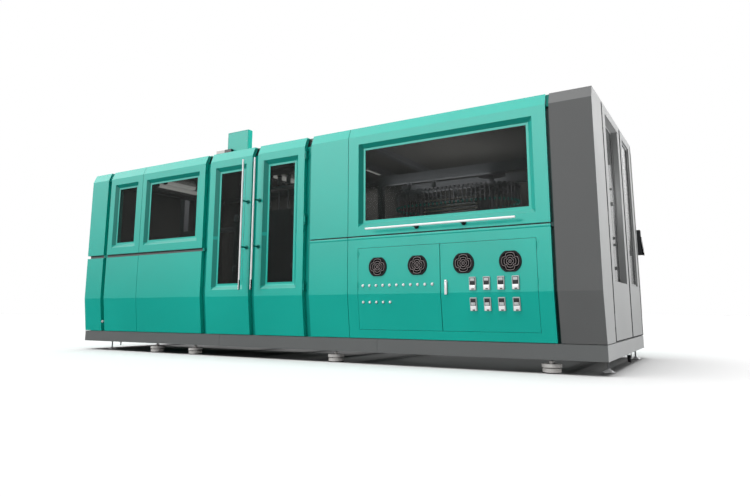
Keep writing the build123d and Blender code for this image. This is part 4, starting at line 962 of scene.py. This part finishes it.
# %% [markdown]
# ### Swing handle
# The cabinet's swing handle is a slim white lever with a round lock barrel near its top. The cover
# is a block with rounded edges over the CAD lever, and the barrel is turned.

# %% Swing handle cover and lock
barrel_profile = ((0.0, 0.0018), (0.0048, 0.0018), (0.0052, 0.0012), (0.0068, 0.0008), (0.0072, -0.001))
low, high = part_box("cabinet_handle")
cover_front = low.y - 0.0016
shape = bmesh.new()
add_block(shape, (low.x + 0.0015, cover_front, low.z - 0.004), (high.x - 0.0015, low.y + 0.0060, high.z + 0.004), 0.003)
finish_piece("latch_cover", shape, "white_coat", "latch")
shape = bmesh.new()
add_turned(shape, ((low.x + high.x) / 2, cover_front, high.z - 0.013), (0, -1, 0), barrel_profile)
finish_piece("latch_barrel", shape, "zinc_plate", "latch")

# %% [markdown]
# ## Cover strips, seams and caps
# Between the upper and lower panels of the two right modules the photograph shows only a narrow
# dark line, so a folded strip sits on the lower panels there, one for each module.

# %% Cover strips of the right modules
strip_bottom = 1.2623
strip_top = 1.2895
strip_depth = 0.0125
strip_runs = ((0.474, 0.971), (0.977, 3.096))
shape = bmesh.new()
for start, end in strip_runs:
    add_block(shape, (start, front, strip_bottom), (end, front + strip_depth, strip_top), 0.0012)
finish_piece("ledge_strips", shape, "teal_coat", "root")

# %% [markdown]
# The end doors close against black rubber, which draws the dark seams round them. Each door carries
# a lip along three edges, and the cabinet a narrower one beside each hinge and latch edge.

# %% Rubber edges of the end doors
lip_width = 0.020
fixed_lip = 0.014
lip_back = 3.4990
lip_face = 3.5012
lip_edge = 0.0005
seam_top = 2.470
fixed_lips = ((-0.7212, seam_top), (1.1192, 2.400))
for name in ("door_f_near", "door_f_far"):
    low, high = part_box(name)
    bottom = low.z + 0.002
    shape = bmesh.new()
    for y in (low.y, high.y - lip_width):
        add_block(shape, (lip_back, y, bottom), (lip_face, y + lip_width, seam_top), lip_edge)
    add_block(shape, (lip_back, low.y + lip_width, bottom), (lip_face, high.y - lip_width, low.z + 0.009), lip_edge)
    finish_piece("edge_rubber_" + name, shape, "matt_black", name)

shape = bmesh.new()
for y, top in fixed_lips:
    add_block(shape, (lip_back, y, 0.262), (lip_face, y + fixed_lip, top), lip_edge)
finish_piece("edge_rubber_cabinet", shape, "matt_black", "root")

# %% [markdown]
# Two grooves run up to the roof edge and are closed there by a bent sheet cap. Its profile is one
# face, which is extruded across the groove.

# %% Caps of the grooves
cap_profile = ((-1.168, 2.360), (-1.162, 2.384), (-1.128, 2.484), (-1.000, 2.486), (-1.000, 2.478), (-1.122, 2.476),
               (-1.152, 2.384), (-1.158, 2.360))
capped_grooves = ((-3.1425, -3.0735), (3.0975, 3.1265))
shape = bmesh.new()
for start, end in capped_grooves:
    face = shape.faces.new([shape.verts.new((start, y, z)) for y, z in cap_profile])
    grown = bmesh.ops.extrude_face_region(shape, geom=[face])["geom"]
    moved = [item for item in grown if isinstance(item, bmesh.types.BMVert)]
    bmesh.ops.translate(shape, vec=(end - start, 0, 0), verts=moved)
# The caps take the darkened teal: painted shade in the grooves.
finish_piece("groove_caps", shape, "shaded_teal", "root")

# %% [markdown]
# A small bright knob shows at the foot of the left groove and a plug hangs under the plinth. What
# they hold can't be seen, so both are plain turned parts of that size.

# %% Knob in the left groove and plug under the plinth
knob_profile = ((0.0, 0.036), (0.010, 0.0355), (0.0155, 0.032), (0.0165, 0.026), (0.0135, 0.021), (0.0085, 0.018),
                (0.0085, -0.002))
plug_profile = ((0.0, 0.056), (0.0075, 0.0555), (0.0085, 0.050), (0.0085, 0.020), (0.013, 0.018), (0.013, 0.006),
                (0.0085, 0.0))
shape = bmesh.new()
add_turned(shape, (-3.094, -1.134, 0.385), (0, -1, 0), knob_profile, 24)
add_turned(shape, (-2.770, -1.085, 0.125), (0, 0, -1), plug_profile, 20)
finish_piece("knob_and_plug", shape, "plated_foot", "root")

# %% [markdown]
# ## Feet
# The machine stands on cast mounts with rubber pads. Their rods and the rods of the slim feet are
# threaded. A thread this small is a stack of fine ridges, so a zigzag profile is spun round each
# rod instead of a true helix.

# %% Threads and pads
mount_rod = 0.0130
foot_rod = 0.008
mount_pad = ((0.078, 0.0005), (0.0806, 0.001), (0.0812, 0.0045), (0.0806, 0.008), (0.078, 0.0092))
foot_pad = ((0.054, 0.0004), (0.0556, 0.0008), (0.0556, 0.0042), (0.054, 0.005))


def thread_profile(radius, length, pitch):
    """Ridges along a rod, closed on to it at both ends."""
    ridges = [(radius, 0.0)]
    for ridge in range(int(length / pitch)):
        ridges += [(radius + pitch * 0.4, (ridge + 0.5) * pitch), (radius, (ridge + 1) * pitch)]
    return ridges


threads = bmesh.new()
pads = bmesh.new()
for low, high in solids_of("machine_mounts"):
    x, y = ((low + high) / 2).xy
    add_turned(threads, (x, y, 0.0962), (0, 0, 1), thread_profile(mount_rod, 0.021, 0.0025), 16)
    add_turned(pads, (x, y, 0), (0, 0, 1), mount_pad, 32)
for low, high in solids_of("levelling_feet"):
    x, y = ((low + high) / 2).xy
    add_turned(threads, (x, y, 0.034), (0, 0, 1), thread_profile(foot_rod, 0.083, 0.002), 14)
    add_rod(threads, (x, y, 0.104), (x, y, 0.113), 0.015, sides=6, edge=0.0008)
    add_turned(pads, (x, y, 0), (0, 0, 1), foot_pad, 28)
finish_piece("foot_threads", threads, "zinc_plate", "root")
finish_piece("foot_pads", pads, "seal_rubber", "root")

# %% [markdown]
# The caster's wheel has a pressed plastic cap on either side, which is a flat turned disc.

# %% Caster hub
hub_profile = ((0.0, 0.0004), (0.0085, 0.0012), (0.0225, 0.0012), (0.0245, 0.0002), (0.026, -0.001))
low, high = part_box("caster_wheel")
x, y, z = (low + high) / 2
shape = bmesh.new()
for side, face_x in ((-1, low.x), (1, high.x)):
    add_turned(shape, (face_x, y, z), (side, 0, 0), hub_profile, 24)
finish_piece("caster_hub", shape, "case_moulding", "wheel")

# %% [markdown]
# ## Oven
# Quartz lamps need white ceramic ends and a bright reflector behind them, which throws the heat
# on to the preforms. An end is a short turned sleeve, and a reflector two polished strips.

# %% Lamp ends and reflectors
tube_radius = 0.008
sleeve_reach = 0.020
strip_offset = 0.0165
ends = bmesh.new()
reflectors = bmesh.new()
tubes = solids_of("heater_lamps")
oven_y = sum((low.y + high.y) / 2 for low, high in tubes) / len(tubes)
behind = {-1: [], 1: []}
for low, high in tubes:
    side = -1 if (low.y + high.y) / 2 < oven_y else 1
    behind[side].append(high.y if side < 0 else low.y)
    tube_y = low.y + tube_radius if side < 0 else high.y - tube_radius
    z = (low.z + high.z) / 2
    for x, inward in ((low.x, 1), (high.x, -1)):
        add_rod(ends, (x - inward * 0.004, tube_y, z), (x + inward * sleeve_reach, tube_y, z), 0.0105,
                sides=20, edge=0.0015)
for side, wall_y in ((-1, max(behind[-1])), (1, min(behind[1]))):
    near, far = sorted((wall_y + side * 0.0005, wall_y + side * 0.0035))
    for row in sorted({round((low.z + high.z) / 2, 4) for low, high in tubes}):
        for z in (row - strip_offset, row + strip_offset):
            add_block(reflectors, (tubes[0][0].x + 0.03, near, z - 0.002),
                      (tubes[0][1].x - 0.03, far, z + 0.002), 0.0006)
finish_piece("lamp_ends", ends, "ceramic", "root")
finish_piece("lamp_reflectors", reflectors, "chrome", "root")

# %% [markdown]
# Each spindle of the chain ends in a turned head that grips a preform's neck. The chain is an oval:
# two straight runs and two half turns of eighteen pitches, and a head hangs on every link.

# %% Spindle heads
chain_low, chain_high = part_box("preform_chain")
chain_pitch = 0.0508
turn_links = 18
loop_radius = chain_pitch * turn_links / pi
loop_x, loop_y = ((chain_low + chain_high) / 2).xy
half_run = (chain_high.x - chain_low.x) / 2 - (loop_radius + 0.022)
head_profile = ((0.0, 0.0), (0.0088, 0.0), (0.0112, 0.0022), (0.0112, 0.0085), (0.0098, 0.0105), (0.0098, 0.016),
                (0.0116, 0.018), (0.0116, 0.026), (0.0085, 0.0285))
spots = []
for step in range(round(2 * half_run / chain_pitch)):
    spots.append(((step + 0.5) * chain_pitch - half_run, -loop_radius))
for step in range(turn_links):
    angle = pi * (step + 0.5) / turn_links
    spots.append((half_run + loop_radius * sin(angle), -loop_radius * cos(angle)))
shape = bmesh.new()
for x, y in spots:
    for side in (-1, 1):
        add_turned(shape, (loop_x + side * x, loop_y + side * y, chain_low.z - 0.001), (0, 0, 1), head_profile, 12)
finish_piece("spindle_heads", shape, "teal_coat", "root")

# %% [markdown]
# ## Blow station
# The air cylinders on the stretch carriage have end caps and brass air fittings. All of it is seen
# through tinted glass, so the forms are simple and few-sided.

# %% Cylinder caps and fittings
low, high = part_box("stretch_carriage")
station_x, station_y = ((low + high) / 2).xy
mould_xs = [station_x + (place - 2.5) * 0.150 for place in range(6)]
cap_radius = 0.031
cap_spans = ((-0.022, 0.001), (-0.158, -0.138))
caps = bmesh.new()
fittings = bmesh.new()
for x in mould_xs:
    for bottom, top in cap_spans:
        add_rod(caps, (x, station_y, high.z + bottom), (x, station_y, high.z + top), cap_radius, 20, 0.002)
    for z in (high.z - 0.011, high.z - 0.148):
        add_rod(fittings, (x, station_y - 0.030, z), (x, station_y - 0.040, z), 0.0075, 6, 0.0008)
        add_rod(fittings, (x, station_y - 0.040, z), (x, station_y - 0.052, z), 0.0052, 12, 0.0008)
finish_piece("cylinder_caps", caps, "black_moulding", "carriage")
finish_piece("air_fittings", fittings, "brass", "carriage")

# %% [markdown]
# The tie bars that hold the mould shut end in large nuts outside the end plates, with the bar's end
# standing out of them. Small hexagon bolts fix the mould halves to their platens.

# %% Platen bolts and tie bar nuts
plate_low, plate_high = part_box("platen_front")
tie_height = (plate_low.z + plate_high.z) / 2
plate_reach = 0.29025
end_plate = 0.050
tie_bar_across = 0.470
tie_bar_up = 0.320
bolt_heights = (1.352, 1.648)
nuts = bmesh.new()
for side_x in (-1, 1):
    for side_z in (-1, 1):
        for side_y in (-1, 1):
            seat = Vector((station_x + side_x * tie_bar_across, station_y + side_y * (plate_reach + end_plate),
                           tie_height + side_z * tie_bar_up))
            tip = seat + Vector((0, side_y * 0.028, 0))
            add_rod(nuts, seat, tip, 0.046, sides=6, edge=0.003)
            add_rod(nuts, tip, tip + Vector((0, side_y * 0.014, 0)), 0.028, sides=20, edge=0.002)
finish_piece("tie_bar_nuts", nuts, "oiled_steel", "root")
for name in ("platen_front", "platen_rear"):
    low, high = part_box(name)
    side = -1 if (low.y + high.y) / 2 < station_y else 1
    y = station_y + side * (plate_reach - 0.035)
    shape = bmesh.new()
    for x in mould_xs:
        for z in bolt_heights:
            add_rod(shape, (x, y, z), (x, y + side * 0.010, z), 0.009, sides=6, edge=0.0008)
    finish_piece("bolts_" + name, shape, "zinc_plate", name)

# %% [markdown]
# ## Operator terminal
# The terminal is a dark case with a leaning screen. Its face has a raised bezel, the screen and
# eight membrane keys below it. They are thin blocks in the face's own directions, as on the keypads.

# %% Terminal face
low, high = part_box("operator_terminal")
screen_top = Vector((3.536, 0, 1.401))
screen_bottom = Vector((3.556, (low.y + high.y) / 2, 1.180))
screen_up = (screen_top - screen_bottom) * Vector((1, 0, 1))
screen_up.normalize()
screen_out = Vector((screen_up.z, 0, -screen_up.x))
screen_turn = Matrix((Vector((0, 1, 0)), screen_up, screen_out)).transposed().to_4x4()
on_screen = Matrix.Translation(screen_bottom) @ screen_turn
bezel_blocks = (((-0.0445, 0.014), (-0.0310, 0.218)), ((0.0310, 0.014), (0.0445, 0.218)),
                ((-0.0310, 0.208), (0.0310, 0.218)), ((-0.0310, 0.014), (0.0310, 0.026)))
glass = bmesh.new()
add_in_place(glass, on_screen, (-0.029, 0.075, -0.002), (0.029, 0.205, 0.0006), 0.0004)
finish_piece("terminal_screen", glass, "dark_screen", "terminal")
bezel = bmesh.new()
for low_corner, high_corner in bezel_blocks:
    add_in_place(bezel, on_screen, (*low_corner, -0.010), (*high_corner, 0.0010), 0.0006)
finish_piece("terminal_bezel", bezel, "matt_black", "terminal")
keys = bmesh.new()
for column in range(4):
    for row in range(2):
        x, y = column * 0.015 - 0.0225, 0.040 + row * 0.014
        add_in_place(keys, on_screen, (x - 0.0055, y - 0.0045, -0.002), (x + 0.0055, y + 0.0045, 0.0012), 0.0008)
finish_piece("terminal_keys", keys, "keypad_moulding", "terminal")

# %% [markdown]
# ## Roof box and lights
# The slim box on the roof is a folded sheet with a raised rim and six screws on its front.

# %% Roof box rim and screws
low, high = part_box("roof_box")
shape = bmesh.new()
add_frame(shape, upright_corners(low, high, 0, low.y, 0.006), (0, -1, 0), 0.006, 0.0012, 0.0003)
finish_piece("roof_box_rim", shape, "teal_coat", "root")
shape = bmesh.new()
for x in (low.x + 0.022, high.x - 0.022):
    for z in (low.z + 0.022, (low.z + high.z) / 2, high.z - 0.022):
        add_screw(shape, (x, low.y, z), (0, -1, 0), 0.0035, 0.0022)
finish_piece("roof_box_screws", shape, "zinc_plate", "root")

# %% [markdown]
# The ceiling lights are trays with an opal cover below and a moulded cap at either end. The cover
# glows a little, as the photograph shows in the window on the left.

# %% Light covers and ends
covers = bmesh.new()
ends = bmesh.new()
for low, high in solids_of("ceiling_lights"):
    add_block(covers, (low.x + 0.006, low.y + 0.02, low.z - 0.010),
              (high.x - 0.006, high.y - 0.02, low.z + 0.004), 0.005)
    for start, end in ((low.y - 0.001, low.y + 0.018), (high.y - 0.018, high.y + 0.001)):
        add_block(ends, (low.x - 0.001, start, low.z - 0.012), (high.x + 0.001, end, high.z - 0.001), 0.002)
finish_piece("light_covers", covers, "opal", "root")
finish_piece("light_ends", ends, "case_moulding", "root")


print(len(new_pieces), "pieces added")
